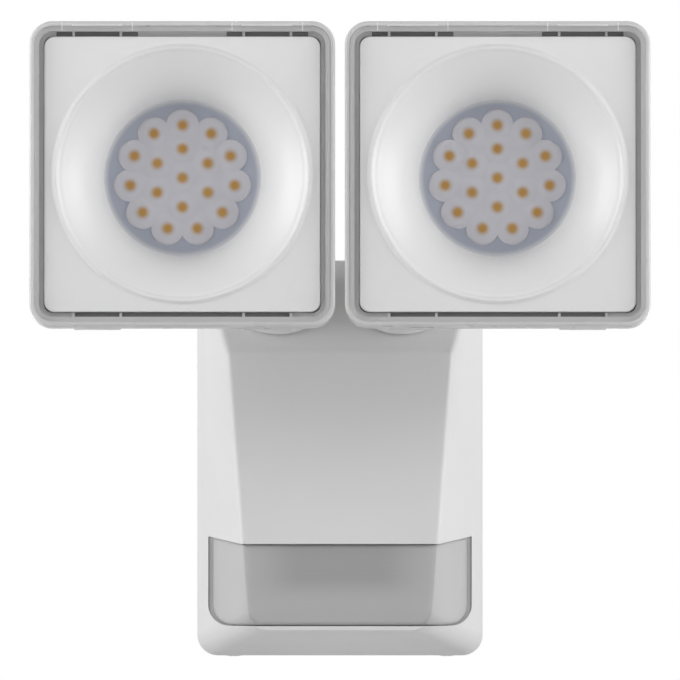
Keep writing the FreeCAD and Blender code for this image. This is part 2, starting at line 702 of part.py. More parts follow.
def dial_potentiometers():
    z = dial_board_z()
    half = POT_SIZE / 2
    pots = []
    for x in dial_places():
        body = block(x - half, x + half, DIAL_DEPTH - half, DIAL_DEPTH + half, z - POT_H, z)
        pots.append(body.cut(upright(DIAL_STEM_R + RUNNING_GAP, z - POT_H - CUT, z + CUT, x, DIAL_DEPTH)))
    return Part.makeCompound(pots)


# ---- arms ----

def pivot_place(side, height):
    """A point on a head's pan axis, at a height from the tilt axis."""
    return Vector(side * HEAD_X, PAN_BEHIND - AXIS_DEPTH, AXIS_Z + height)


def bent_path(points, radius):
    """Wire through points, with a tangent arc of one radius at each point between the ends."""
    edges = []
    start = points[0]
    for before, corner, after in zip(points, points[1:], points[2:]):
        first = (corner - before).normalize()
        second = (after - corner).normalize()
        half_turn = first.getAngle(second) / 2
        tangent = radius * math.tan(half_turn)
        inward = (second - first).normalize()
        middle = corner + inward * (radius / math.cos(half_turn) - radius)
        bend_start = corner - first * tangent
        bend_end = corner + second * tangent
        edges.append(Part.LineSegment(start, bend_start).toShape())
        edges.append(Part.Arc(bend_start, middle, bend_end).toShape())
        start = bend_end
    edges.append(Part.LineSegment(start, points[-1]).toShape())
    return Part.Wire(edges)


def arm_tube(side):
    """Round bar that leaves the foot square to the shoulder, climbs outward and runs level into the pivot boss."""
    start = on_foot(side, FOOT_SEAL_T)
    end = pivot_place(side, (PIVOT_TOP + PIVOT_BOTTOM) / 2)
    level = Vector(end.x - start.x, end.y - start.y, 0).normalize()
    path = bent_path([start, on_foot(side, TUBE_RISE), end - level * TUBE_RUN, end], TUBE_BEND_R)
    section = Part.Wire([Part.Circle(start, foot_normal(), TUBE_R).toShape()])
    return path.makePipeShell([section], True, False)


def foot_turret(side):
    """Round foot with a rounded rim and a shoulder that runs up into the bar."""
    rim = FOOT_H - FOOT_SEAL_T
    base = FOOT_SEAL_T
    round_over = FOOT_H / 4
    drop = round_over * (1 - math.sqrt(0.5))
    outline = [
        Part.LineSegment(Vector(0, 0, base), Vector(FOOT_R, 0, base)),
        Part.LineSegment(Vector(FOOT_R, 0, base), Vector(FOOT_R, 0, base + rim - round_over)),
        Part.Arc(Vector(FOOT_R, 0, base + rim - round_over), Vector(FOOT_R - drop, 0, base + rim - drop),
                 Vector(FOOT_R - round_over, 0, base + rim)),
        Part.LineSegment(Vector(FOOT_R - round_over, 0, base + rim), Vector(TUBE_R + FOOT_H / 2, 0, base + rim)),
        Part.LineSegment(Vector(TUBE_R + FOOT_H / 2, 0, base + rim), Vector(TUBE_R, 0, base + rim + FOOT_H / 2)),
        Part.LineSegment(Vector(TUBE_R, 0, base + rim + FOOT_H / 2), Vector(0, 0, base + rim + FOOT_H / 2)),
        Part.LineSegment(Vector(0, 0, base + rim + FOOT_H / 2), Vector(0, 0, base)),
    ]
    turret = Part.Face(Part.Wire([piece.toShape() for piece in outline])).revolve(Vector(), Z_AXIS, 360)
    turret.Placement = FreeCAD.Placement(on_foot(side, 0), FreeCAD.Rotation(Z_AXIS, foot_normal()))
    return turret


def arm(side):
    stem = foot_disc(side, STEM_R, -STEM_L, FOOT_SEAL_T + CUT)
    axis = pivot_place(side, PIVOT_BOTTOM)
    boss = Part.makeCylinder(PIVOT_R, PIVOT_H, axis, Z_AXIS)
    body = joined([foot_turret(side), arm_tube(side), stem, boss])
    bore = Part.makeCylinder(BOLT_R + RUNNING_GAP, PIVOT_H + 2 * CUT, axis - Z_AXIS * CUT, Z_AXIS)
    return body.cut(bore).cut(foot_disc(side, STEM_BORE_R, -STEM_L - CUT, FOOT_H))


def arm_seals():
    rings = []
    for side in (-1, 1):
        outer = foot_disc(side, FOOT_R - FOOT_SEAL_SET_BACK, 0, FOOT_SEAL_T)
        rings.append(outer.cut(foot_disc(side, STEM_R + STEM_GAP, -CUT, FOOT_SEAL_T + CUT)))
    return Part.makeCompound(rings)


def arm_nuts():
    low = -WALL - LOCK_NUT_T
    nuts = []
    for side in (-1, 1):
        nut = hexagon(LOCK_NUT_FLATS, on_foot(side, low), foot_normal(), LOCK_NUT_T)
        nuts.append(nut.cut(foot_disc(side, STEM_R, low - CUT, CUT)))
    return Part.makeCompound(nuts)


# ---- pan knuckle, drawn about the tilt axis ----

def on_pan_axis(radius, z0, z1):
    return upright(radius, z0, z1, 0, -PAN_BEHIND)


def pan_knuckle():
    """Upright collar with an eye reaching forward to the tilt bolt."""
    collar = on_pan_axis(PIVOT_R, COLLAR_BOTTOM, COLLAR_TOP)
    neck = block(-EYE_W / 2, EYE_W / 2, -PAN_BEHIND, 0, COLLAR_BOTTOM, COLLAR_TOP)
    eye = crosswise(EYE_R, -EYE_W / 2, EYE_W / 2)
    body = joined([collar, neck, eye])
    body = body.cut(on_pan_axis(BOLT_R, COLLAR_BOTTOM - CUT, COLLAR_TOP + CUT))
    return body.cut(crosswise(BOLT_R + RUNNING_GAP, -EYE_W, EYE_W))


def pan_screw():
    """Hexagon-socket screw that the pan knuckle turns with."""
    tip = PIVOT_BOTTOM - MOVING_GAP - NUT_T - THREAD_OUT
    shank = on_pan_axis(BOLT_R, tip, COLLAR_TOP)
    head = on_pan_axis(BOLT_FLATS / 2, COLLAR_TOP, COLLAR_TOP + BOLT_HEAD_H)
    socket = hexagon(BOLT_FLATS / 2, Vector(0, PAN_BEHIND, COLLAR_TOP + BOLT_HEAD_H / 2), Z_AXIS, BOLT_HEAD_H)
    return joined([shank, head]).cut(socket)


def pan_nut():
    low = PIVOT_BOTTOM - MOVING_GAP - NUT_T
    return hexagon(BOLT_FLATS, Vector(0, PAN_BEHIND, low), Z_AXIS, NUT_T).cut(on_pan_axis(BOLT_R, low - CUT, 0))


def pan_washer():
    ring = on_pan_axis(PIVOT_R - CUT, COLLAR_BOTTOM - WASHER_T, COLLAR_BOTTOM)
    return ring.cut(on_pan_axis(BOLT_R, COLLAR_BOTTOM - WASHER_T - CUT, COLLAR_BOTTOM + CUT))


# ---- head, drawn about its tilt axis ----

def head_housing():
    """Die-cast body: tapered back with cooling fins, waist, and the rim that the cover slides over."""
    rim_radius = HEAD_R - SKIRT_T - SKIRT_FIT
    step = SKIRT_END - SHOULDER_GAP
    rim_front = PANE_BACK - GASKET_T
    waist_half = HEAD_HALF - WAIST_INSET
    outside = [
        square_taper(BACK_HALF, BACK_R, HEAD_BACK, waist_half, WAIST_R, BODY_WAIST),
        square_taper(waist_half, WAIST_R, BODY_WAIST, HEAD_HALF, HEAD_R, step),
        square_slab(RIM_HALF, rim_radius, step, rim_front),
    ]
    inner_half = RIM_HALF - RIM_WALL
    inner_radius = rim_radius - RIM_WALL
    inside = [
        square_taper(HEAD_HALF - FLOOR_INSET, FLOOR_R, FLOOR, inner_half, inner_radius, step),
        square_slab(inner_half, inner_radius, step, rim_front + CUT),
    ]
    body = joined(outside).cut(joined(inside))
    slots = []
    for i in range(FIN_ROWS):
        x = FIN_FIRST_X + i * FIN_PITCH
        for side in (-1, 1):
            slots.append(block(side * x - FIN_SLOT_W / 2, side * x + FIN_SLOT_W / 2, 0, FIN_ROOT,
                               -HEAD_HALF, HEAD_HALF))
    body = body.cut(Part.makeCompound(slots + clip_pockets() + [disc(GLAND_R, 0, FLOOR + CUT, 0, GLAND_Z)]))
    return joined([body] + face_posts()).cut(Part.makeCompound(head_screw_holes()))


def head_bracket():
    """Pad on the back of the head with two ears that take the tilt bolt."""
    pad_back = HEAD_BACK - BRACKET_T
    outline = rounded_wire(-BRACKET_HALF_W, BRACKET_HALF_W, -BRACKET_HALF_H, BRACKET_HALF_H, BRACKET_R, pad_back)
    shapes = [Part.Face(outline).extrude(FORWARD * BRACKET_T)]
    for side in (-1, 1):
        low = min(side * EAR_IN, side * EAR_OUT)
        shapes.append(crosswise(EYE_R, low, low + EAR_T))
        shapes.append(block(low, low + EAR_T, 0, pad_back + CUT, -EYE_R, EYE_R))
    holes = [disc(SCREW_R, 0, HEAD_BACK + CUT, x) for x in (-BRACKET_SCREW_X, BRACKET_SCREW_X)]
    holes.append(crosswise(BOLT_R, -EAR_OUT - CUT, EAR_OUT + CUT))
    return joined(shapes).cut(Part.makeCompound(holes))


def face_posts():
    """Four posts from the floor of the head to the back of the face plate."""
    reach = FACE_HALF - FACE_POST_INSET
    return [disc(FACE_POST_R, FLOOR - CUT, FACE_FRONT - FACE_T, sx * reach, sz * reach)
            for sx in (-1, 1) for sz in (-1, 1)]


def clip_blocks(width, inner, outer, depth0, depth1):
    """Four blocks where the clips are, above and below the head."""
    shapes = []
    for x in (-CLIP_X, CLIP_X):
        for side in (-1, 1):
            z0, z1 = sorted((side * inner, side * outer))
            shapes.append(block(x - width / 2, x + width / 2, depth0, depth1, z0, z1))
    return shapes


def clip_pockets():
    return clip_blocks(CLIP_POCKET_W, RIM_HALF, HEAD_SIZE, SKIRT_END - CLIP_L - MOVING_GAP, SKIRT_END)


def led_screw_places():
    step = 2 * math.pi / LED_SCREWS
    return [(LED_SCREW_R * math.sin(i * step), LED_SCREW_R * math.cos(i * step)) for i in range(LED_SCREWS)]


def head_screw_holes():
    """Holes for the LED board's screws from the front and the bracket's from behind."""
    front_tip = LED_BOARD_FRONT - HEAD_SCREW_L
    rear_tip = HEAD_BACK - BRACKET_T + HEAD_SCREW_L
    holes = [disc(SCREW_R, front_tip, FLOOR + CUT, x, z) for x, z in led_screw_places()]
    return holes + [disc(SCREW_R, 0, rear_tip, x) for x in (-BRACKET_SCREW_X, BRACKET_SCREW_X)]


def head_cover():
    """Clear tray: pane, skirt and four clips that reach back over the head housing."""
    outer = square_slab(HEAD_HALF, HEAD_R, SKIRT_END, HEAD_FRONT)
    front = [e for e in outer.Edges if all(abs(v.Point.y + HEAD_FRONT) < 1e-6 for v in e.Vertexes)]
    outer = outer.makeFillet(PANE_T / 2, front)
    tray = outer.cut(square_slab(HEAD_HALF - SKIRT_T, HEAD_R - SKIRT_T, SKIRT_END - CUT, PANE_BACK))
    tail = SKIRT_END - CLIP_L
    clips = clip_blocks(CLIP_W, HEAD_HALF - CLIP_T, HEAD_HALF, tail, SKIRT_END + CUT)
    barbs = clip_blocks(CLIP_W, HEAD_HALF - SKIRT_T, HEAD_HALF - CLIP_T / 2, tail, tail + CLIP_T)
    return joined([tray] + clips + barbs)


def head_gasket():
    rim_radius = HEAD_R - SKIRT_T - SKIRT_FIT
    depth = PANE_BACK - GASKET_T
    ring = square_slab(RIM_HALF, rim_radius, depth, PANE_BACK)
    return ring.cut(square_slab(RIM_HALF - RIM_WALL, rim_radius - RIM_WALL, depth, PANE_BACK))


def head_reflector():
    """White face plate with a beaded round mouth and a bell-shaped funnel down to the LEDs."""
    plate = square_slab(FACE_HALF, FACE_R, FACE_FRONT - FACE_T, FACE_FRONT)
    front = [e for e in plate.Edges if all(abs(v.Point.y + FACE_FRONT) < 1e-6 for v in e.Vertexes)]
    plate = plate.makeFillet(FACE_T / 3, front)
    lip = MOUTH_R - BEAD_R
    plate = plate.cut(disc(lip, FACE_FRONT - FACE_T - CUT, FACE_FRONT + CUT))
    return joined([plate, funnel(lip), bead()])


def funnel(lip):
    """Bell-shaped wall of even thickness between the mouth and the LED lens, revolved."""
    def arc_points(offset):
        rim = Vector(lip + offset, FACE_FRONT - (0 if offset == 0 else FACE_T))
        foot = Vector(FUNNEL_R + offset, FUNNEL_END)
        along = (foot - rim).normalize()
        bow = Vector(along.y, -along.x) * FUNNEL_SAG
        return rim, (rim + foot) * 0.5 + bow, foot

    inner = [Vector(p.x, -p.y, 0) for p in arc_points(0)]
    outer = [Vector(p.x, -p.y, 0) for p in arc_points(FACE_T)]
    edges = [
        Part.Arc(*inner).toShape(),
        Part.LineSegment(inner[2], outer[2]).toShape(),
        Part.Arc(*reversed(outer)).toShape(),
        Part.LineSegment(outer[0], inner[0]).toShape(),
    ]
    return Part.Face(Part.Wire(edges)).revolve(Vector(), FORWARD, 360)


def bead():
    """Half-round ring raised round the mouth."""
    centre = Vector(MOUTH_R, -FACE_FRONT + BEAD_R / 2, 0)
    ring = Part.Face(Part.Wire([Part.Circle(centre, Z_AXIS, BEAD_R).toShape()]))
    return ring.revolve(Vector(), FORWARD, 360)


def led_places():
    """Centre, inner ring and outer ring."""
    places = [(0.0, 0.0)]
    for radius, count in ((INNER_RING_R, INNER_RING_COUNT), (OUTER_RING_R, OUTER_RING_COUNT)):
        for i in range(count):
            turn = 2 * math.pi * i / count
            places.append((radius * math.sin(turn), radius * math.cos(turn)))
    return places


def led_board():
    board = disc(LED_BOARD_R, FLOOR, LED_BOARD_FRONT)
    holes = [disc(SCREW_R + STEM_GAP, FLOOR - CUT, LED_BOARD_FRONT + CUT, x, z) for x, z in led_screw_places()]
    return board.cut(Part.makeCompound(holes))


def head_screws():
    """Five alike: three through the LED board, two through the bracket's pad."""
    rear_tip = HEAD_BACK - BRACKET_T + HEAD_SCREW_L
    screws = [pan_head_screw(Vector(x, HEAD_SCREW_L - LED_BOARD_FRONT, z), FORWARD, HEAD_SCREW_L)
              for x, z in led_screw_places()]
    screws += [pan_head_screw(Vector(x, -rear_tip, 0), -FORWARD, HEAD_SCREW_L)
               for x in (-BRACKET_SCREW_X, BRACKET_SCREW_X)]
    return Part.makeCompound(screws)


def leds():
    return Part.makeCompound([block(x - LED_W / 2, x + LED_W / 2, LED_BOARD_FRONT, LED_BOARD_FRONT + LED_T,
                                    z - LED_H / 2, z + LED_H / 2) for x, z in led_places()])


def led_lens():
    """Round plate on a short wall, with a scalloped boss over the LEDs."""
    radius = FUNNEL_R + FACE_T
    top = FUNNEL_END
    plate = disc(radius, top - LENS_PLATE_T, top)
    ring = disc(radius, LED_BOARD_FRONT, top).cut(disc(radius - LENS_PLATE_T, LED_BOARD_FRONT, top))
    lobes = [disc(SCALLOP_R, top - LENS_PLATE_T, top + SCALLOP_T - LENS_PLATE_T, x, z) for x, z in led_places()]
    return joined([plate, ring] + lobes)


def tilt_bolt():
    tip = -EAR_OUT - NUT_T - THREAD_OUT
    head = hexagon(BOLT_FLATS, Vector(EAR_OUT, 0, 0), X_AXIS, BOLT_HEAD_H)
    return crosswise(BOLT_R, tip, EAR_OUT).fuse(head)


def tilt_nut():
    nut = hexagon(BOLT_FLATS, Vector(-EAR_OUT - NUT_T, 0, 0), X_AXIS, NUT_T)
    return nut.cut(crosswise(BOLT_R, -EAR_OUT - NUT_T - CUT, 0))


def tilt_washers():
    washers = [crosswise(EYE_R - CUT, low, low + WASHER_T) for low in (EAR_IN - WASHER_T, -EAR_IN)]
    return Part.makeCompound([washer.cut(crosswise(BOLT_R, -EAR_OUT, EAR_OUT)) for washer in washers])


def head_gland():
    """Rubber bush for the lead, pressed into the back of the head."""
    collar = disc(GLAND_R + RIM_T, HEAD_BACK - RIM_T, HEAD_BACK, 0, GLAND_Z)
    plug = disc(GLAND_R, HEAD_BACK, HEAD_BACK + GLAND_R, 0, GLAND_Z)
    return joined([collar, plug]).cut(disc(GLAND_R / 2, 0, FLOOR, 0, GLAND_Z))


# ---- assembly ----

def at_joint(shape, side, tilt=0.0):
    """Carries a shape drawn about the tilt axis to its place, tilted up by some degrees."""
    placed = shape.copy()
    placed.rotate(Vector(), X_AXIS, -tilt)
    placed.translate(Vector(side * HEAD_X, -AXIS_DEPTH, AXIS_Z))
    return placed


def housing_nodes():
    nodes = {
        "front_housing": front_housing(),
        "back_plate": back_plate(),
        "housing_seal": housing_seal(),
        "housing_screws": housing_screws(),
        "sensor_lens": sensor_lens(),
        "lens_frame": lens_frame(),
        "sensor_holder": sensor_holder(),
        "sensor_board": sensor_board(),
        "motion_sensor": motion_sensor(),
        "driver_board": driver_board(),
        "board_screws": board_screws(),
        "transformer": transformer(),
        "capacitors": capacitors(),
        "relay": relay(),
        "terminal_block": terminal_block(),
        "terminal_screws": terminal_screws(),
        "cable_grommet": cable_grommet(),
        "dial_board": dial_board(),
        "dial_potentiometers": dial_potentiometers(),
        "arm_seals": arm_seals(),
        "arm_nuts": arm_nuts(),
    }
    for name, x in zip(("range_dial", "time_dial", "dusk_dial"), dial_places()):
        nodes[name] = dial(x)
    return nodes


def head_nodes():
    """Everything that tilts, drawn once for both sides."""
    return {
        "head_housing": head_housing(),
        "head_bracket": head_bracket(),
        "head_cover": head_cover(),
        "head_gasket": head_gasket(),
        "head_reflector": head_reflector(),
        "led_board": led_board(),
        "head_screws": head_screws(),
        "leds": leds(),
        "led_lens": led_lens(),
        "tilt_bolt": tilt_bolt(),
        "tilt_nut": tilt_nut(),
        "tilt_washers": tilt_washers(),
        "head_gland": head_gland(),
    }


def pan_nodes():
    return {
        "pan_knuckle": pan_knuckle(),
        "pan_screw": pan_screw(),
        "pan_nut": pan_nut(),
        "pan_washer": pan_washer(),
    }


def side_nodes():
    heads = head_nodes()
    pans = pan_nodes()
    nodes = {}
    for word, side in (("left", -1), ("right", 1)):
        nodes["arm_" + word] = arm(side)
        for name, shape in pans.items():
            nodes[name + "_" + word] = at_joint(shape, side)
        for name, shape in heads.items():
            nodes[name + "_" + word] = at_joint(shape, side, REST_TILT)
    return nodes


os.makedirs("parts", exist_ok=True)
for node, shape in {**housing_nodes(), **side_nodes()}.items():
    shape.exportStep("parts/" + node + ".step")
    print(f"{node}: {len(shape.Solids)} solids, {shape.Volume / 1000:.2f} cm3, valid {shape.isValid()}")
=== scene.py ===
import json
import math

import bmesh
import bpy
from mathutils import Matrix, Vector
from mathutils.bvhtree import BVHTree


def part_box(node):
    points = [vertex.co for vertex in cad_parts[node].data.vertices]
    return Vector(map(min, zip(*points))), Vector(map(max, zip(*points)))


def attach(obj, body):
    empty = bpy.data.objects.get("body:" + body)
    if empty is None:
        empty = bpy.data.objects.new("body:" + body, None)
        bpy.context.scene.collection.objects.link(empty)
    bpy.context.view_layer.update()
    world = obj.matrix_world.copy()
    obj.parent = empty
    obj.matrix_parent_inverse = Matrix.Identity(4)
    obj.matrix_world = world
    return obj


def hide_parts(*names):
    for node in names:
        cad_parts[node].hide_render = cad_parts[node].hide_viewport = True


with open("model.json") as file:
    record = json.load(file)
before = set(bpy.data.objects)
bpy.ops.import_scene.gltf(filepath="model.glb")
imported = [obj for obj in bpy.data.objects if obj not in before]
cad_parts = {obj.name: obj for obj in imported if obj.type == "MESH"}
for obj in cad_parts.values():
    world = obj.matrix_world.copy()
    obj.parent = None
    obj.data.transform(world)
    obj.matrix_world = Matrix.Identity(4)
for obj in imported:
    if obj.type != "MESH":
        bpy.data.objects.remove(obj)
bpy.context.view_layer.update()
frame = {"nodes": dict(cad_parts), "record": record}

SIDES = ("left", "right")
MM = 0.001
QUARTER = math.pi / 2
MERGE_DISTANCE = 1e-7

# ---- view and stage, in metres and watts ----
VIEW_HEIGHT = 0.2350
VIEW_CENTRE = Vector((0.0, -0.0535, 0.0409))
LENS = 1400.0           # mm, long enough for a nearly parallel view
SENSOR = 36.0           # mm
FLOOR_SIZE = 2.6
FLOOR_HEIGHT = -0.095
FLOOR_FADE_START = 0.25
FLOOR_FADE_END = 1.0
WORLD_STRENGTH = 0.16
LIGHT_TARGET = (0.0, -0.05, 0.04)
SIDE_LIGHT_TURN = math.radians(72.0)
SIDE_LIGHT_REACH = 1.5
SIDE_LIGHT_HEIGHT = 0.35
SIDE_LIGHT_SIZE = 1.2
SIDE_LIGHT_POWER = 18.0
FRONT_LIGHT_PLACE = (0.0, -1.5, 1.2)
FRONT_LIGHT_POWER = 3.4
REAR_LIGHT_PLACE = (0.0, 1.8, 0.3)
REAR_LIGHT_POWER = 10.0
END_LIGHT_W = 1.4
END_LIGHT_H = 1.0

# ---- materials ----
NOISE_LOW = 0.3         # a noise texture's usual range
NOISE_HIGH = 0.7
CLOUD_SCALE = 28.0      # per metre, as are the next two
GLOSS_SCALE = 90.0
GRAIN_SCALE = 1800.0
GLOSS_CHANGE = 0.04
GRAIN_DEPTH = 0.00001
PANE_TINT = 0.997
PANE_GLOSS = 0.4
PANE_ROUGHNESS = 0.06
PANE_IOR = 1.49
TEXTURE_MIDDLE = 0.5    # both ways in a round texture, and the distance from there to its edge
LED_AMBER = (0.48, 0.25, 0.035)
LED_FADE = (0.13, 0.49)
FLOWER_GREY = (0.635, 0.63, 0.68)
LENS_BASE_GREY = (0.405, 0.432, 0.515)
LENS_BASE_FADE = (0.436, 0.484)

# Where the sensor lens gets painted shade for the board behind it and painted highlight on its sides beyond
# the folds, the folds' rounding, and its ribs, in metres
BOARD_SHADE_X = 0.0225
BOARD_SHADE_LOW = -0.045
BOARD_SHADE_HIGH = -0.025
BOARD_BLUR_X = 0.010
BOARD_BLUR_Z = 0.0045
LENS_FOLD_X = 0.0325
LENS_FOLD_BLUR = 0.003
LENS_FOLD_R = 0.0025
LENS_FOLD_SAMPLES = 6
RIB_PITCH = 0.0014
RIB_HEIGHT = 0.00001
WAVES_PER_UNIT = 20 / (2 * math.pi)     # bands in one unit of a wave texture at scale 1

# ---- heads, in mm: depth is counted forward from the tilt axis, x and z from the head's centre ----
HEAD_X = 54.16
AXIS_DEPTH = 64.0       # from the wall
AXIS_Z = 94.75
HEAD_TILT = math.radians(3.5)
HEAD_HALF = 52.5
HEAD_R = 8.0
LEAST_R = 0.6
CORNER_STEPS = 12
BLOCK_STEPS = 2
BLOCK_PROFILE = 0.5     # makes an edge round

# Clear cover
PANE_FRONT = 54.0
PANE_T = 2.0
PANE_LIFT = 0.05        # keeps the pane's back off the gasket
PANE_GAP = 0.02         # between pane and skirt
EDGE_ROUND = 1.0
ROUND_STEPS = 5
SKIRT_T = 1.6
SKIRT_END = 40.0
CLIP_X = 29.2
CLIP_W = 16.2
CLIP_L = 8.0
CLIP_T = 1.4
CLIP_OVERLAP = 0.5
CLIP_ROUND = 0.2

# Thin bars in the rim's top at each clip
RIB_X = 12.1
RIB_W = 0.35
RIB_PROUD = 0.05
RIB_SINK = 0.3
RIB_ROUND = 0.05
BAR_INSET = 1.2
BAR_W = 0.5
BAR_HALF = 8.7

# Groove between rim and face plate
GROOVE_OUT = 3.35
GROOVE_IN = 4.95
LEDGE_FRONT = 48.4
LEDGE_T = 0.8
BRIDGE_HALF = 0.45
BRIDGE_FRONT = 49.4
BRIDGE_ROUND = 0.15
# Dark blocks of painted shade stand for each slot opening in the groove
SLOT_HALF = 14.0
SLOT_PROUD = 0.1
SLOT_ROUND = 0.02

# Face plate, the ridge round its mouth, and the funnel
FACE_HALF = 47.4
FACE_FRONT = 50.5
FACE_T = 1.5
FACE_R = 3.6
FACE_ROUND = 0.5
EDGE_STEPS = 30
LIP_R = 42.1
RIDGE_R = 43.5
RIDGE_HALF_W = 1.7
RIDGE_H = 1.2
RIDGE_STEPS = 12
FUNNEL_R = 27.0
FUNNEL_END = 30.5
FUNNEL_SAG = 3.2
BELL_STEPS = 20

# Lens plate, the scalloped plate on it, and a low dome over each LED
PLATE_FRONT = FUNNEL_END
PLATE_R = 28.5
PLATE_T = 1.0
PLATE_EYE_R = 0.01
PLATE_AROUND = 96
OUTER_RING_R = 18.15
OUTER_RING_COUNT = 11
INNER_RING_R = 10.05
INNER_RING_COUNT = 6
LOBE_R = 5.6
LOBE_H = 0.5
FLOWER_GAP = 0.02
FLOWER_T = 0.35
FLOWER_FLARE = 0.15
FLOWER_AROUND = 264
FLOWER_RINGS = 26
DOME_R = 3.0
DOME_GAP = 0.03
DOME_RISE = 0.12
DOME_EDGE = 0.3
DOME_AROUND = 28
DOME_RINGS = 5
DOME_EYE = 0.4          # of a ring's width

# ---- housing screw heads, in metres ----
SCREW_HEAD_R = 0.0026
SCREW_SINK = 0.0009
SCREW_DOME = 0.0003
SCREW_EDGE = 0.0006
SCREW_RINGS = 14
SCREW_AROUND = 48
SCREW_EYE = 0.5         # of a ring's width
CROSS_HALF_W = 0.00045
CROSS_REACH = 0.0016
CROSS_DEPTH = 0.0006

# ---- sensor lens opening in the housing and the grey strip of painted shade in it, in metres ----
WINDOW_HALF = 0.0456
WINDOW_R = 0.0070
WINDOW_BOTTOM = -0.0578
WINDOW_SIDE_TOP = -0.0275
SIDE_STEP = 0.002
SHADE_STRIP_W = 0.0005
SHADE_STRIP_SIDE_W = 0.0017
SHADE_STRIP_REACH = 0.0001
SHADE_STRIP_SINK = 0.00005
SHADE_STRIP_LIFT = 0.0001
SHADE_STRIP_GAP = 0.00005
SHADE_STRIP_T = 0.0004
RAY_START = -1.0


# ---- nodes ----

def new_material(name):
    """A node material, its tree and its shader."""
    material = bpy.data.materials.new(name)
    material.use_nodes = True
    tree = material.node_tree
    return material, tree, tree.nodes["Principled BSDF"]


def coordinates(tree, kind):
    """Texture coordinates; those of kind Object are in metres."""
    return tree.nodes.new("ShaderNodeTexCoord").outputs[kind]


def plug(tree, socket, value):
    """Gives a socket another node's output, a colour or a number."""
    if isinstance(value, bpy.types.NodeSocket):
        tree.links.new(value, socket)
    elif isinstance(value, tuple):
        socket.default_value = (*value, 1.0)
    else:
        socket.default_value = value


def maths(tree, operation, first, second):
    """Result of a maths node on two numbers or outputs."""
    node = tree.nodes.new("ShaderNodeMath")
    node.operation = operation
    plug(tree, node.inputs[0], first)
    plug(tree, node.inputs[1], second)
    return node.outputs[0]


def map_range(tree, value, start, finish, low=0.0, high=1.0, kind="LINEAR"):
    """Maps start to low and finish to high."""
    node = tree.nodes.new("ShaderNodeMapRange")
    node.interpolation_type = kind
    node.inputs["From Min"].default_value = start
    node.inputs["From Max"].default_value = finish
    node.inputs["To Min"].default_value = low
    node.inputs["To Max"].default_value = high
    tree.links.new(value, node.inputs["Value"])
    return node.outputs["Result"]


def colour_blend(tree, factor, first, second):
    """Blend of two colours: all first at 0, all second at 1."""
    mix = tree.nodes.new("ShaderNodeMix")
    mix.data_type = "RGBA"
    plug(tree, mix.inputs["Factor"], factor)
    plug(tree, mix.inputs["A"], first)
    plug(tree, mix.inputs["B"], second)
    return mix.outputs["Result"]


def show_mixed(tree, factor, first, second, output="Material Output"):
    """Sends a mix of two shaders to the surface: all first at 0, all second at 1."""
    mix = tree.nodes.new("ShaderNodeMixShader")
    plug(tree, mix.inputs["Fac"], factor)
    tree.links.new(first.outputs[0], mix.inputs[1])
    tree.links.new(second.outputs[0], mix.inputs[2])
    tree.links.new(mix.outputs[0], tree.nodes[output].inputs["Surface"])


def noise(tree, place, scale, detail=3.0, low=None, high=None):
    """Noise texture; with low and high its usual range is mapped to them."""
    texture = tree.nodes.new("ShaderNodeTexNoise")
    texture.inputs["Scale"].default_value = scale
    texture.inputs["Detail"].default_value = detail
    tree.links.new(place, texture.inputs["Vector"])
    if low is None:
        return texture.outputs["Fac"]
    return map_range(tree, texture.outputs["Fac"], NOISE_LOW, NOISE_HIGH, low, high)


def add_bump(tree, shader, height, depth):
    """Roughens a shader's surface by a height texture."""
    bump = tree.nodes.new("ShaderNodeBump")
    bump.inputs["Strength"].default_value = 1.0
    bump.inputs["Distance"].default_value = depth
    tree.links.new(height, bump.inputs["Height"])
    tree.links.new(bump.outputs["Normal"], shader.inputs["Normal"])
    return bump


# ---- materials ----

def grey(value):
    return (value, value, value)


def moulded(name, colour, change=0.03, roughness=0.4, grain=GRAIN_SCALE, depth=GRAIN_DEPTH, metallic=0.0):
    """Moulded or cast surface: a cloudy colour, uneven gloss and a fine grain."""
    material, tree, shader = new_material(name)
    place = coordinates(tree, "Object")
    clouds = noise(tree, place, CLOUD_SCALE, low=0.0, high=1.0)
    darker = tuple(part * (1.0 - change) for part in colour)
    tree.links.new(colour_blend(tree, clouds, colour, darker), shader.inputs["Base Color"])
    gloss = noise(tree, place, GLOSS_SCALE, low=roughness - GLOSS_CHANGE, high=roughness + GLOSS_CHANGE)
    tree.links.new(gloss, shader.inputs["Roughness"])
    add_bump(tree, shader, noise(tree, place, grain, detail=2.0), depth)
    shader.inputs["Metallic"].default_value = metallic
    return material


def reflector(name):
    """White moulding of even, high reflection."""
    material = moulded(name, grey(0.95), change=0.008, roughness=0.4)
    material.node_tree.nodes["Principled BSDF"].inputs["Specular IOR Level"].default_value = 1.0
    return material


def clear_pane(name):
    """Clear plastic: seen through, with a reflection on its outer faces, and the lamps' light passes."""
    material, tree, shader = new_material(name)
    tree.nodes.remove(shader)
    through = tree.nodes.new("ShaderNodeBsdfTransparent")
    plug(tree, through.inputs["Color"], grey(PANE_TINT))
    gloss = tree.nodes.new("ShaderNodeBsdfGlossy")
    plug(tree, gloss.inputs["Color"], grey(PANE_GLOSS))
    gloss.inputs["Roughness"].default_value = PANE_ROUGHNESS
    fresnel = tree.nodes.new("ShaderNodeFresnel")
    fresnel.inputs["IOR"].default_value = PANE_IOR
    inside = tree.nodes.new("ShaderNodeNewGeometry").outputs["Backfacing"]
    shadow = tree.nodes.new("ShaderNodeLightPath").outputs["Is Shadow Ray"]
    outside = maths(tree, "SUBTRACT", 1.0, maths(tree, "MAXIMUM", inside, shadow))
    show_mixed(tree, maths(tree, "MULTIPLY", fresnel.outputs["Fac"], outside), through, gloss)
    return material


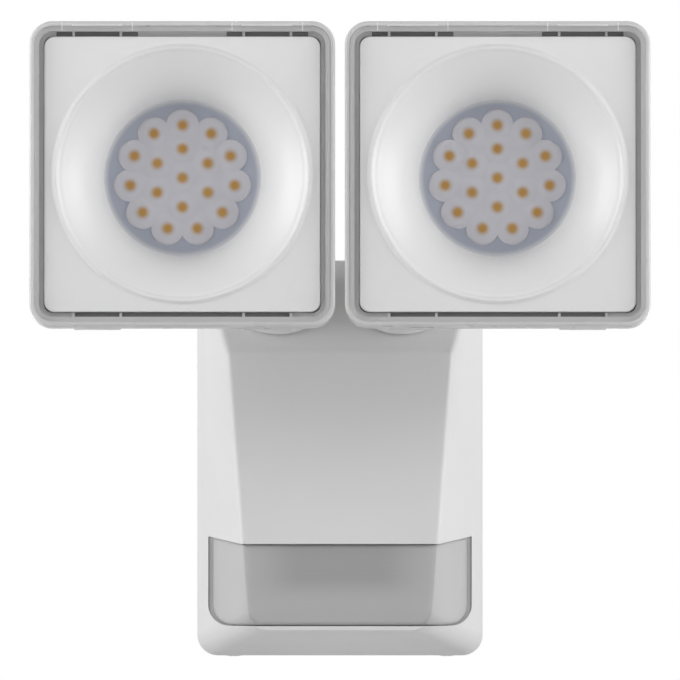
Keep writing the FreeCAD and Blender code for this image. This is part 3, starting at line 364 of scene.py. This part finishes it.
def frosted(name, colour, clear_share, lit_share, roughness):
    """Translucent plastic: a share of what is behind it is seen, and a share of the lamps' light passes."""
    material = moulded(name, colour, roughness=roughness)
    tree = material.node_tree
    through = tree.nodes.new("ShaderNodeBsdfTransparent")
    shadow = tree.nodes.new("ShaderNodeLightPath").outputs["Is Shadow Ray"]
    share = map_range(tree, shadow, 0.0, 1.0, clear_share, lit_share)
    show_mixed(tree, share, tree.nodes["Principled BSDF"], through)
    return material


def round_fade(name, middle, edge, fade, roughness):
    """Colour that changes with the distance from the middle of the mesh's round texture coordinates."""
    material, tree, shader = new_material(name)
    distance = tree.nodes.new("ShaderNodeVectorMath")
    distance.operation = "DISTANCE"
    distance.inputs[1].default_value = (TEXTURE_MIDDLE, TEXTURE_MIDDLE, 0.0)
    tree.links.new(coordinates(tree, "UV"), distance.inputs[0])
    share = map_range(tree, distance.outputs["Value"], *fade, kind="SMOOTHSTEP")
    tree.links.new(colour_blend(tree, share, middle, edge), shader.inputs["Base Color"])
    shader.inputs["Roughness"].default_value = roughness
    return material


def soft_band(tree, value, low, high, blur):
    """One between low and high, zero outside, with soft ends."""
    climb = map_range(tree, value, low - blur, low + blur, kind="SMOOTHSTEP")
    drop = map_range(tree, value, high + blur, high - blur, kind="SMOOTHSTEP")
    return maths(tree, "MULTIPLY", climb, drop)


def ribbed_lens(name, colour, lit_side_colour, board_shade_colour, clear_share):
    """Translucent lens with fine level ribs; painted highlight makes its sides lighter, and painted shade
    makes it darker where the sensor board is close behind.
    """
    material = frosted(name, colour, clear_share, clear_share, roughness=0.35)
    tree = material.node_tree
    shader = tree.nodes["Principled BSDF"]
    place = coordinates(tree, "Object")
    axes = tree.nodes.new("ShaderNodeSeparateXYZ")
    tree.links.new(place, axes.inputs["Vector"])
    # Painted shade: a soft darker patch where the sensor board sits close behind the lens.
    across = soft_band(tree, axes.outputs["X"], -BOARD_SHADE_X, BOARD_SHADE_X, BOARD_BLUR_X)
    upright = soft_band(tree, axes.outputs["Z"], BOARD_SHADE_LOW, BOARD_SHADE_HIGH, BOARD_BLUR_Z)
    board = maths(tree, "MULTIPLY", across, upright)
    # Painted highlight: the lens's sides beyond the folds get a lighter grey for the side lamps' light on
    # them.
    front = soft_band(tree, axes.outputs["X"], -LENS_FOLD_X, LENS_FOLD_X, LENS_FOLD_BLUR)
    with_lit_sides = colour_blend(tree, front, lit_side_colour, colour)
    tree.links.new(colour_blend(tree, board, with_lit_sides, board_shade_colour), shader.inputs["Base Color"])
    ribs = tree.nodes.new("ShaderNodeTexWave")
    ribs.bands_direction = "Z"
    ribs.inputs["Scale"].default_value = 1.0 / (WAVES_PER_UNIT * RIB_PITCH)
    tree.links.new(place, ribs.inputs["Vector"])
    bump = add_bump(tree, shader, ribs.outputs["Fac"], RIB_HEIGHT)
    folds = tree.nodes.new("ShaderNodeBevel")
    folds.samples = LENS_FOLD_SAMPLES
    folds.inputs["Radius"].default_value = LENS_FOLD_R
    tree.links.new(folds.outputs["Normal"], bump.inputs["Normal"])
    return material


# Materials of the record's slots
FINISHES = {
    "white_plastic": moulded("white_plastic", grey(0.72), change=0.015, roughness=0.42),
    "plate_plastic": moulded("plate_plastic", (0.70, 0.70, 0.69), roughness=0.5),
    # Lens grey, the lighter grey of its painted highlight on the sides, and the darker grey of its painted
    # shade where the board is behind.
    "lens_plastic": ribbed_lens("lens_plastic", grey(0.48), grey(0.56), grey(0.37), clear_share=0.12),
    "dark_plastic": moulded("dark_plastic", (0.05, 0.05, 0.055), roughness=0.5),
    "dial_plastic": moulded("dial_plastic", (0.30, 0.31, 0.32), roughness=0.45),
    "rubber": moulded("rubber", grey(0.03), roughness=0.7),
    "grey_rubber": moulded("grey_rubber", grey(0.62), roughness=0.7),
    "white_aluminium": moulded("white_metal", grey(0.80), roughness=0.45, grain=1200.0, depth=0.00002),
    "clear_plastic": clear_pane("clear_plastic"),
    "reflector_plastic": reflector("reflector_plastic"),
    "led_board": moulded("led_board", (0.24, 0.27, 0.31), roughness=0.5),
    "led": moulded("led_amber", (0.75, 0.45, 0.15), roughness=0.4),
    "led_lens": clear_pane("led_lens"),
    "steel": moulded("steel", (0.72, 0.72, 0.73), roughness=0.3, metallic=1.0),
    "circuit_board": moulded("circuit_board", (0.05, 0.22, 0.10), roughness=0.4),
    "ferrite": moulded("ferrite", grey(0.10), roughness=0.6),
    "capacitor": moulded("capacitor", (0.06, 0.08, 0.16), roughness=0.35),
    "relay": moulded("relay", (0.10, 0.28, 0.55), roughness=0.35),
}

# Materials of the pieces that are only in this scene
skirt_plastic = frosted("skirt_plastic", grey(0.78), clear_share=0.2, lit_share=0.7, roughness=0.3)
rib_plastic = moulded("rib_plastic", grey(0.82), change=0.01, roughness=0.3)
ledge_paint = moulded("ledge_paint", grey(0.64), roughness=0.5)
# Painted shade: near-black blocks for the slot openings, dark because they open into the shaded inside of the
# head.
slot_shade_paint = moulded("slot_shade_paint", grey(0.16), roughness=0.6)
# Painted shade: the grey of the shaded step between the sensor lens and the housing.
shade_strip_paint = moulded("shade_strip_paint", grey(0.30), roughness=0.5)
lens_base = round_fade("lens_base", LENS_BASE_GREY, grey(0.80), LENS_BASE_FADE, roughness=0.35)
lens_flower = moulded("lens_flower", FLOWER_GREY, change=0.05, roughness=0.3)
led_glow = round_fade("led_glow", LED_AMBER, FLOWER_GREY, LED_FADE, roughness=0.25)


def finish_nodes():
    """Gives each CAD node the material of its slot in the record."""
    for part in frame["record"]["subparts"]:
        for place in frame["nodes"][part["node"]].material_slots:
            place.material = FINISHES[part["material_slot"]]


# ---- stage ----

def seen_rays(tree):
    """One for rays that see a surface, straight, in gloss or through plastic; zero for all others."""
    rays = tree.nodes.new("ShaderNodeLightPath")
    seen = rays.outputs["Is Camera Ray"]
    for name in ("Is Glossy Ray", "Is Transmission Ray"):
        seen = maths(tree, "MAXIMUM", seen, rays.outputs[name])
    return seen


def make_world():
    """Dim light from all round that is seen as white."""
    world = bpy.data.worlds.new("studio")
    bpy.context.scene.world = world
    world.use_nodes = True
    tree = world.node_tree
    dim = tree.nodes["Background"]
    bright = tree.nodes.new("ShaderNodeBackground")
    for light, strength in ((dim, WORLD_STRENGTH), (bright, 1.0)):
        plug(tree, light.inputs["Color"], grey(1.0))
        light.inputs["Strength"].default_value = strength
    show_mixed(tree, seen_rays(tree), dim, bright, output="World Output")


def floor_paint():
    """Pale paint that is seen to fade into the white background with distance from the object."""
    paint = moulded("floor_paint", grey(0.88), change=0.01, roughness=0.8)
    tree = paint.node_tree
    away = tree.nodes.new("ShaderNodeVectorMath")
    away.operation = "LENGTH"
    tree.links.new(coordinates(tree, "Object"), away.inputs[0])
    fade = map_range(tree, away.outputs["Value"], FLOOR_FADE_START, FLOOR_FADE_END, kind="SMOOTHSTEP")
    amount = maths(tree, "MULTIPLY", fade, seen_rays(tree))
    white = tree.nodes.new("ShaderNodeEmission")
    show_mixed(tree, amount, tree.nodes["Principled BSDF"], white)
    return paint


def make_floor():
    """Level square under the object."""
    mesh = bpy.data.meshes.new("floor")
    half = FLOOR_SIZE / 2
    corners = [(x * half, y * half, FLOOR_HEIGHT) for x, y in ((-1, -1), (1, -1), (1, 1), (-1, 1))]
    mesh.from_pydata(corners, [], [(0, 1, 2, 3)])
    mesh.materials.append(floor_paint())
    floor = bpy.data.objects.new("floor", mesh)
    bpy.context.scene.collection.objects.link(floor)


def area_light(name, place, width, height, power):
    """Soft lamp that faces the object and isn't seen itself."""
    light = bpy.data.lights.new(name, "AREA")
    light.shape = "RECTANGLE"
    light.size = width
    light.size_y = height
    light.energy = power
    lamp = bpy.data.objects.new(name, light)
    lamp.location = place
    lamp.rotation_euler = (Vector(LIGHT_TARGET) - Vector(place)).to_track_quat("-Z", "Y").to_euler()
    lamp.visible_camera = False
    bpy.context.scene.collection.objects.link(lamp)


def make_lights():
    """A large lamp to each side, a weak one in front and one behind."""
    ahead = -SIDE_LIGHT_REACH * math.cos(SIDE_LIGHT_TURN)
    beside = SIDE_LIGHT_REACH * math.sin(SIDE_LIGHT_TURN)
    for side, x in zip(SIDES, (-beside, beside)):
        place = (x, ahead, SIDE_LIGHT_HEIGHT)
        area_light("side_" + side, place, SIDE_LIGHT_SIZE, SIDE_LIGHT_SIZE, SIDE_LIGHT_POWER)
    area_light("front", FRONT_LIGHT_PLACE, END_LIGHT_W, END_LIGHT_H, FRONT_LIGHT_POWER)
    area_light("rear", REAR_LIGHT_PLACE, END_LIGHT_W, END_LIGHT_H, REAR_LIGHT_POWER)


def make_camera():
    """Level view from the front."""
    data = bpy.data.cameras.new("camera")
    data.lens = LENS
    data.sensor_width = SENSOR
    data.dof.use_dof = False
    camera = bpy.data.objects.new("camera", data)
    distance = VIEW_HEIGHT * LENS / SENSOR
    camera.location = VIEW_CENTRE + Vector((0.0, -distance, 0.0))
    camera.rotation_euler = (QUARTER, 0.0, 0.0)
    bpy.context.scene.collection.objects.link(camera)
    bpy.context.scene.camera = camera


# ---- meshes ----

def at_head(side, x, depth, z):
    """A point of a head at rest, in metres."""
    middle = HEAD_X if side == "right" else -HEAD_X
    y = -depth * math.cos(HEAD_TILT) + z * math.sin(HEAD_TILT)
    up = depth * math.sin(HEAD_TILT) + z * math.cos(HEAD_TILT)
    return Vector((middle + x, y - AXIS_DEPTH, AXIS_Z + up)) * MM


def turns(count):
    """Angles all the way round."""
    return [2 * math.pi * i / count for i in range(count)]


def quarter_turns(steps):
    """Angles from 0 to a quarter turn, both included."""
    return [QUARTER * i / steps for i in range(steps + 1)]


def bridge(bm, first, second):
    """Faces between two closed loops of as many points."""
    count = len(first)
    for i in range(count):
        after = (i + 1) % count
        bm.faces.new((first[i], first[after], second[after], second[i]))


def skin(bm, loops, capped=True):
    """Faces between neighbouring loops, and over both ends if they are to be capped."""
    for first, second in zip(loops, loops[1:]):
        bridge(bm, first, second)
    if capped:
        bm.faces.new(loops[0])
        bm.faces.new(loops[-1])


def texture_place(right, up):
    """Place in a round texture, given as shares of its radius from the middle."""
    return (TEXTURE_MIDDLE * (1 + right), TEXTURE_MIDDLE * (1 + up))


def set_texture_places(layer, places):
    """Writes each point's place in the texture onto the corners that meet there."""
    for vert, place in places.items():
        for corner in vert.link_loops:
            corner[layer].uv = place


def finished_mesh(name, bm, material, body, smooth_angle=35.0):
    """Turns a bmesh into a smooth-shaded piece that rides on a body and has the given material."""
    bmesh.ops.remove_doubles(bm, verts=bm.verts, dist=MERGE_DISTANCE)
    bmesh.ops.recalc_face_normals(bm, faces=bm.faces)
    mesh = bpy.data.meshes.new(name)
    bm.to_mesh(mesh)
    bm.free()
    piece = bpy.data.objects.new(name, mesh)
    bpy.context.scene.collection.objects.link(piece)
    mesh.materials.append(material)
    mesh.shade_smooth()
    mesh.set_sharp_from_angle(angle=math.radians(smooth_angle))
    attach(piece, body)
    return piece


def rounded_square(half, radius, edge_steps=1):
    """Points round a square with rounded corners, whose straight edges are in edge_steps parts."""
    reach = half - radius
    points = []
    for turn in range(4):
        spin = Matrix.Rotation(turn * QUARTER, 2)
        for angle in quarter_turns(CORNER_STEPS):
            points.append(spin @ Vector((reach + radius * math.cos(angle), reach + radius * math.sin(angle))))
        for i in range(1, edge_steps):
            points.append(spin @ Vector((reach - 2 * reach * i / edge_steps, half)))
    return points


def swept_square(bm, side, profile, capped):
    """Rounded squares at each (inset, depth) of a profile, joined into one surface."""
    loops = []
    for inset, depth in profile:
        outline = rounded_square(HEAD_HALF - inset, max(HEAD_R - inset, LEAST_R))
        loops.append([bm.verts.new(at_head(side, x, depth, z)) for x, z in outline])
    skin(bm, loops, capped)


def round_over(depth, radius):
    """Profile of a rounded outer edge, from the front face to the side wall."""
    return [(radius * (1 - math.sin(angle)), depth - radius * (1 - math.cos(angle)))
            for angle in quarter_turns(ROUND_STEPS)]


def soft_block(bm, side, x0, x1, depth0, depth1, z0, z1, radius):
    """Block with rounded edges."""
    part = bmesh.new()
    corners = [part.verts.new(at_head(side, x, depth, z))
               for x in (x0, x1) for depth in (depth0, depth1) for z in (z0, z1)]
    for quad in ((0, 1, 3, 2), (4, 6, 7, 5), (0, 4, 5, 1), (2, 3, 7, 6), (0, 2, 6, 4), (1, 5, 7, 3)):
        part.faces.new([corners[i] for i in quad])
    bmesh.ops.bevel(part, geom=part.edges[:], offset=radius * MM, segments=BLOCK_STEPS,
                    affect="EDGES", profile=BLOCK_PROFILE)
    holder = bpy.data.meshes.new("block")
    part.to_mesh(holder)
    part.free()
    bm.from_mesh(holder)
    bpy.data.meshes.remove(holder)


# ---- pieces of the heads ----

def make_cover(side):
    """Clear pane, and the frosted skirt round it with the clips' tabs."""
    body = "head_" + side
    pane_back = PANE_FRONT - PANE_T + PANE_LIFT
    pane = bmesh.new()
    inset = SKIRT_T + PANE_GAP
    swept_square(pane, side, [(inset, PANE_FRONT), (inset, pane_back)], capped=True)
    finished_mesh("cover_pane_" + side, pane, FINISHES["clear_plastic"], body)

    skirt = bmesh.new()
    profile = [(SKIRT_T, pane_back), (SKIRT_T, PANE_FRONT)]
    profile += round_over(PANE_FRONT, EDGE_ROUND)
    profile += [(0.0, SKIRT_END), (SKIRT_T, SKIRT_END), (SKIRT_T, pane_back)]
    swept_square(skirt, side, profile, capped=False)
    for x in (-CLIP_X, CLIP_X):
        for up in (-1, 1):
            z0, z1 = sorted((up * (HEAD_HALF - CLIP_T), up * HEAD_HALF))
            soft_block(skirt, side, x - CLIP_W / 2, x + CLIP_W / 2,
                       SKIRT_END - CLIP_L, SKIRT_END + CLIP_OVERLAP, z0, z1, CLIP_ROUND)
    piece = finished_mesh("cover_skirt_" + side, skirt, skirt_plastic, body)
    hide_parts("head_cover_" + side)


def make_rim_details(side):
    """The groove's ledge, dark blocks of painted shade for its slot openings and small bridges on it, and
    thin bars in the rim at the clips.
    """
    body = "head_" + side
    slot_front = LEDGE_FRONT + SLOT_PROUD
    ledge = bmesh.new()
    profile = [(GROOVE_OUT, LEDGE_FRONT - LEDGE_T), (GROOVE_OUT, LEDGE_FRONT), (GROOVE_IN, LEDGE_FRONT),
               (GROOVE_IN, LEDGE_FRONT - LEDGE_T), (GROOVE_OUT, LEDGE_FRONT - LEDGE_T)]
    swept_square(ledge, side, profile, capped=False)
    finished_mesh("rim_ledge_" + side, ledge, ledge_paint, body)

    ribs = bmesh.new()
    bridges = bmesh.new()
    slot_shades = bmesh.new()
    for middle in (-CLIP_X, CLIP_X):
        add_clip_ribs(ribs, side, middle)
        groove_block(slot_shades, side, middle - SLOT_HALF, middle + SLOT_HALF, 1, slot_front, SLOT_ROUND)
        for up in (-1, 1):
            for x in (middle - CLIP_W / 2, middle + CLIP_W / 2):
                groove_block(bridges, side, x - BRIDGE_HALF, x + BRIDGE_HALF, up, BRIDGE_FRONT, BRIDGE_ROUND)
    reach = CLIP_X + CLIP_W / 2
    groove_block(slot_shades, side, -reach, reach, -1, slot_front, SLOT_ROUND)
    finished_mesh("clip_ribs_" + side, ribs, rib_plastic, body)
    finished_mesh("clip_bridges_" + side, bridges, ledge_paint, body)
    finished_mesh("clip_slot_shades_" + side, slot_shades, slot_shade_paint, body)


def add_clip_ribs(bm, side, middle):
    """Two uprights and a bar in the top rim at one clip."""
    back = PANE_FRONT - RIB_SINK
    front = PANE_FRONT + RIB_PROUD
    for x in (middle - RIB_X, middle + RIB_X):
        soft_block(bm, side, x - RIB_W / 2, x + RIB_W / 2, back, front,
                   HEAD_HALF - GROOVE_OUT, HEAD_HALF - EDGE_ROUND / 2, RIB_ROUND)
    soft_block(bm, side, middle - BAR_HALF, middle + BAR_HALF, back, front,
               HEAD_HALF - BAR_INSET - BAR_W, HEAD_HALF - BAR_INSET, RIB_ROUND)


def groove_block(bm, side, x0, x1, up, front, radius):
    """Block on the groove's ledge, above (up 1) or below (up -1) the face plate."""
    low, high = sorted((up * (HEAD_HALF - GROOVE_IN), up * (HEAD_HALF - GROOVE_OUT)))
    soft_block(bm, side, x0, x1, LEDGE_FRONT - LEDGE_T, front, low, high, radius)


def plate_outline(inset):
    """Points round the face plate, close together so that round forms inside it look round."""
    return rounded_square(FACE_HALF - inset, FACE_R - inset, EDGE_STEPS)


def ridge_profile():
    """Radius and depth over the ridge round the mouth, from the plate inwards."""
    points = []
    for i in range(RIDGE_STEPS + 1):
        share = i / RIDGE_STEPS
        radius = RIDGE_R + RIDGE_HALF_W * (1 - 2 * share)
        points.append((radius, FACE_FRONT + RIDGE_H * (1 - math.cos(2 * math.pi * share)) / 2))
    return points


def bell(share, offset):
    """Radius and depth on the funnel's wall, from the mouth (share 0) to the LEDs (share 1)."""
    bow = 4 * share * (1 - share) * FUNNEL_SAG
    run = Vector((FUNNEL_R - LIP_R, FUNNEL_END - FACE_FRONT))
    along = run.normalized()
    start = Vector((LIP_R + offset, FACE_FRONT))
    return start + run * share + Vector((along.y, -along.x)) * bow


def make_face_plate(side):
    """White plate with a ridge round the mouth and the bell-shaped funnel, one closed skin."""
    bm = bmesh.new()
    ways = [point.normalized() for point in plate_outline(0.0)]

    def plate_ring(inset, depth):
        return [bm.verts.new(at_head(side, point.x, depth, point.y)) for point in plate_outline(inset)]

    def round_ring(radius, depth):
        return [bm.verts.new(at_head(side, way.x * radius, depth, way.y * radius)) for way in ways]

    loops = [plate_ring(0.0, FACE_FRONT - FACE_T)]
    loops += [plate_ring(*place) for place in reversed(round_over(FACE_FRONT, FACE_ROUND))]
    loops += [round_ring(*place) for place in ridge_profile()]
    loops += [round_ring(*bell(i / BELL_STEPS, 0.0)) for i in range(1, BELL_STEPS + 1)]
    loops += [round_ring(*bell(1 - i / BELL_STEPS, FACE_T)) for i in range(BELL_STEPS)]
    loops.append(round_ring(LIP_R + 2 * FACE_T, FACE_FRONT - FACE_T))
    skin(bm, loops + loops[:1], capped=False)
    piece = finished_mesh("face_plate_" + side, bm, FINISHES["reflector_plastic"], "head_" + side,
                          smooth_angle=50.0)
    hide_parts("head_reflector_" + side)


def make_lens_plate(side):
    """Flat round plate at the funnel's end."""
    bm = bmesh.new()
    layer = bm.loops.layers.uv.new("disc")
    places = {}
    loops = []
    back = PLATE_FRONT - PLATE_T
    profile = [(PLATE_EYE_R, back), (PLATE_R, back), (PLATE_R, PLATE_FRONT), (PLATE_EYE_R, PLATE_FRONT)]
    for radius, depth in profile:
        loop = []
        for angle in turns(PLATE_AROUND):
            x = radius * math.cos(angle)
            z = radius * math.sin(angle)
            vert = bm.verts.new(at_head(side, x, depth, z))
            places[vert] = texture_place(x / PLATE_R, z / PLATE_R)
            loop.append(vert)
        loops.append(loop)
    skin(bm, loops)
    set_texture_places(layer, places)
    piece = finished_mesh("led_lens_plate_" + side, bm, lens_base, "head_" + side)
    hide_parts("led_lens_" + side)


def ring_places(radius, count):
    """Points round a circle, the first at its top."""
    return [(radius * math.sin(angle), radius * math.cos(angle)) for angle in turns(count)]


def led_places():
    """Centre, inner ring and outer ring."""
    inner = ring_places(INNER_RING_R, INNER_RING_COUNT)
    outer = ring_places(OUTER_RING_R, OUTER_RING_COUNT)
    return [(0.0, 0.0)] + inner + outer


def flower_reach(angle):
    """Outer radius of the scalloped plate in one direction."""
    reach = 0.0
    for x, z in ring_places(OUTER_RING_R, OUTER_RING_COUNT):
        along = x * math.cos(angle) + z * math.sin(angle)
        across = x * math.sin(angle) - z * math.cos(angle)
        if abs(across) < LOBE_R and along > 0:
            reach = max(reach, along + math.sqrt(LOBE_R ** 2 - across ** 2))
    return reach


def flower_front(x, z):
    """Depth of the scalloped plate's face, which swells over each LED."""
    nearest = min(math.hypot(x - led_x, z - led_z) for led_x, led_z in led_places())
    swell = LOBE_H * (1.0 - min(nearest / LOBE_R, 1.0) ** 2)
    return PLATE_FRONT + FLOWER_GAP + FLOWER_T + swell


def make_lens_flower(side):
    """Scalloped plate on the round one."""
    bm = bmesh.new()
    spokes = [(math.cos(angle), math.sin(angle), flower_reach(angle)) for angle in turns(FLOWER_AROUND)]
    foot = []
    for x, z, reach in spokes:
        radius = reach + FLOWER_FLARE
        foot.append(bm.verts.new(at_head(side, x * radius, PLATE_FRONT + FLOWER_GAP, z * radius)))
    loops = [foot]
    for ring in range(FLOWER_RINGS):
        share = 1 - ring / FLOWER_RINGS
        points = [(x * reach * share, z * reach * share) for x, z, reach in spokes]
        loops.append([bm.verts.new(at_head(side, x, flower_front(x, z), z)) for x, z in points])
    skin(bm, loops)
    finished_mesh("led_lens_flower_" + side, bm, lens_flower, "head_" + side, smooth_angle=60.0)


def add_led_dome(bm, places, side, x, z):
    """Low dome over one LED; its places in the texture run out from its middle."""
    loops = []
    for ring in range(DOME_RINGS + 1):
        share = 1.0 - ring / (DOME_RINGS + DOME_EYE)
        rise = DOME_GAP + DOME_RISE * (1.0 - share ** 2)
        loop = []
        for angle in turns(DOME_AROUND):
            right = share * math.cos(angle)
            up = share * math.sin(angle)
            point_x = x + DOME_R * right
            point_z = z + DOME_R * up
            vert = bm.verts.new(at_head(side, point_x, flower_front(point_x, point_z) + rise, point_z))
            places[vert] = texture_place(right, up)
            loop.append(vert)
        loops.append(loop)
    foot = []
    for vert in loops[0]:
        foot.append(bm.verts.new(vert.co + Vector((0.0, DOME_EDGE * MM, 0.0))))
        places[foot[-1]] = places[vert]
    skin(bm, [foot] + loops)


def make_led_domes(side):
    """Amber domes over all the LEDs of a head."""
    bm = bmesh.new()
    layer = bm.loops.layers.uv.new("dome")
    places = {}
    for x, z in led_places():
        add_led_dome(bm, places, side, x, z)
    set_texture_places(layer, places)
    finished_mesh("led_domes_" + side, bm, led_glow, "head_" + side, smooth_angle=60.0)


# ---- pieces of the housing ----

def surface_depth(surface, x, z):
    """Where a ray from the front first meets a surface."""
    hit = surface.ray_cast(Vector((x, RAY_START, z)), Vector((0.0, 1.0, 0.0)))
    return hit[0].y


def shade_strip_path():
    """Points down the window's left side, across and up its right side, each with the way inward."""
    path = []
    straight = WINDOW_SIDE_TOP - WINDOW_BOTTOM - WINDOW_R
    for step in range(int(straight / SIDE_STEP) + 1):
        path.append((Vector((-WINDOW_HALF, WINDOW_SIDE_TOP - step * SIDE_STEP)), Vector((1.0, 0.0))))
    centre = Vector((WINDOW_R - WINDOW_HALF, WINDOW_BOTTOM + WINDOW_R))
    for angle in quarter_turns(CORNER_STEPS):
        inward = Vector((math.cos(angle), math.sin(angle)))
        path.append((centre - inward * WINDOW_R, inward))
    mirrored = [(Vector((-point.x, point.y)), Vector((-inward.x, inward.y)))
                for point, inward in reversed(path)]
    return path + mirrored


def make_lens_shade_strip():
    """Grey strip down both sides of the sensor lens and along its bottom, filling the step at its edge; its
    grey is painted shade of that step.
    """
    view = bpy.context.evaluated_depsgraph_get()
    lens = BVHTree.FromObject(frame["nodes"]["sensor_lens"], view)
    shell = BVHTree.FromObject(frame["nodes"]["front_housing"], view)
    bm = bmesh.new()
    sections = []
    for point, inward in shade_strip_path():
        outside = point - inward * SHADE_STRIP_REACH
        outer = point + inward * SHADE_STRIP_GAP
        inner = point + inward * (SHADE_STRIP_W + (SHADE_STRIP_SIDE_W - SHADE_STRIP_W) * abs(inward.x))
        edge = surface_depth(shell, outside.x, outside.y) + SHADE_STRIP_SINK
        base = surface_depth(lens, inner.x, inner.y) - SHADE_STRIP_LIFT
        corners = ((outer.x, edge + SHADE_STRIP_T, outer.y), (outer.x, edge, outer.y),
                   (inner.x, base, inner.y), (inner.x, base + SHADE_STRIP_T, inner.y))
        sections.append([bm.verts.new(corner) for corner in corners])
    skin(bm, sections)
    finished_mesh("lens_shade_strip", bm, shade_strip_paint, "housing", smooth_angle=50.0)


def screw_point(bm, centre, share, turn):
    """A point on a domed screw head; the arms of the cross recess are pushed in."""
    x = SCREW_HEAD_R * share * math.cos(turn)
    y = SCREW_HEAD_R * share * math.sin(turn)
    in_arm = min(abs(x), abs(y)) < CROSS_HALF_W and max(abs(x), abs(y)) < CROSS_REACH
    push = CROSS_DEPTH if in_arm else 0.0
    return bm.verts.new(centre + Vector((x, y, push - SCREW_DOME * (1 - share ** 2))))


def make_housing_screw_heads():
    """Low domed heads with a cross recess where the CAD screws are, just proud of their recesses."""
    low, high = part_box("housing_screws")
    bm = bmesh.new()
    for side in (-1, 1):
        centre = Vector((side * (high.x - SCREW_HEAD_R), (low.y + high.y) / 2, low.z + SCREW_SINK))
        loops = []
        for ring in range(SCREW_RINGS + 1):
            share = 1.0 - ring / (SCREW_RINGS + SCREW_EYE)
            loops.append([screw_point(bm, centre, share, turn) for turn in turns(SCREW_AROUND)])
        rim = [bm.verts.new(vert.co + Vector((0.0, 0.0, SCREW_EDGE))) for vert in loops[0]]
        skin(bm, [rim] + loops)
    heads = finished_mesh("housing_screw_heads", bm, FINISHES["steel"], "housing", smooth_angle=40.0)
    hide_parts("housing_screws")


finish_nodes()
for head in SIDES:
    make_cover(head)
    make_rim_details(head)
    make_face_plate(head)
    make_lens_plate(head)
    make_lens_flower(head)
    make_led_domes(head)
make_lens_shade_strip()
make_housing_screw_heads()
make_world()
make_floor()
make_lights()
make_camera()
bpy.context.scene.view_settings.view_transform = "Standard"
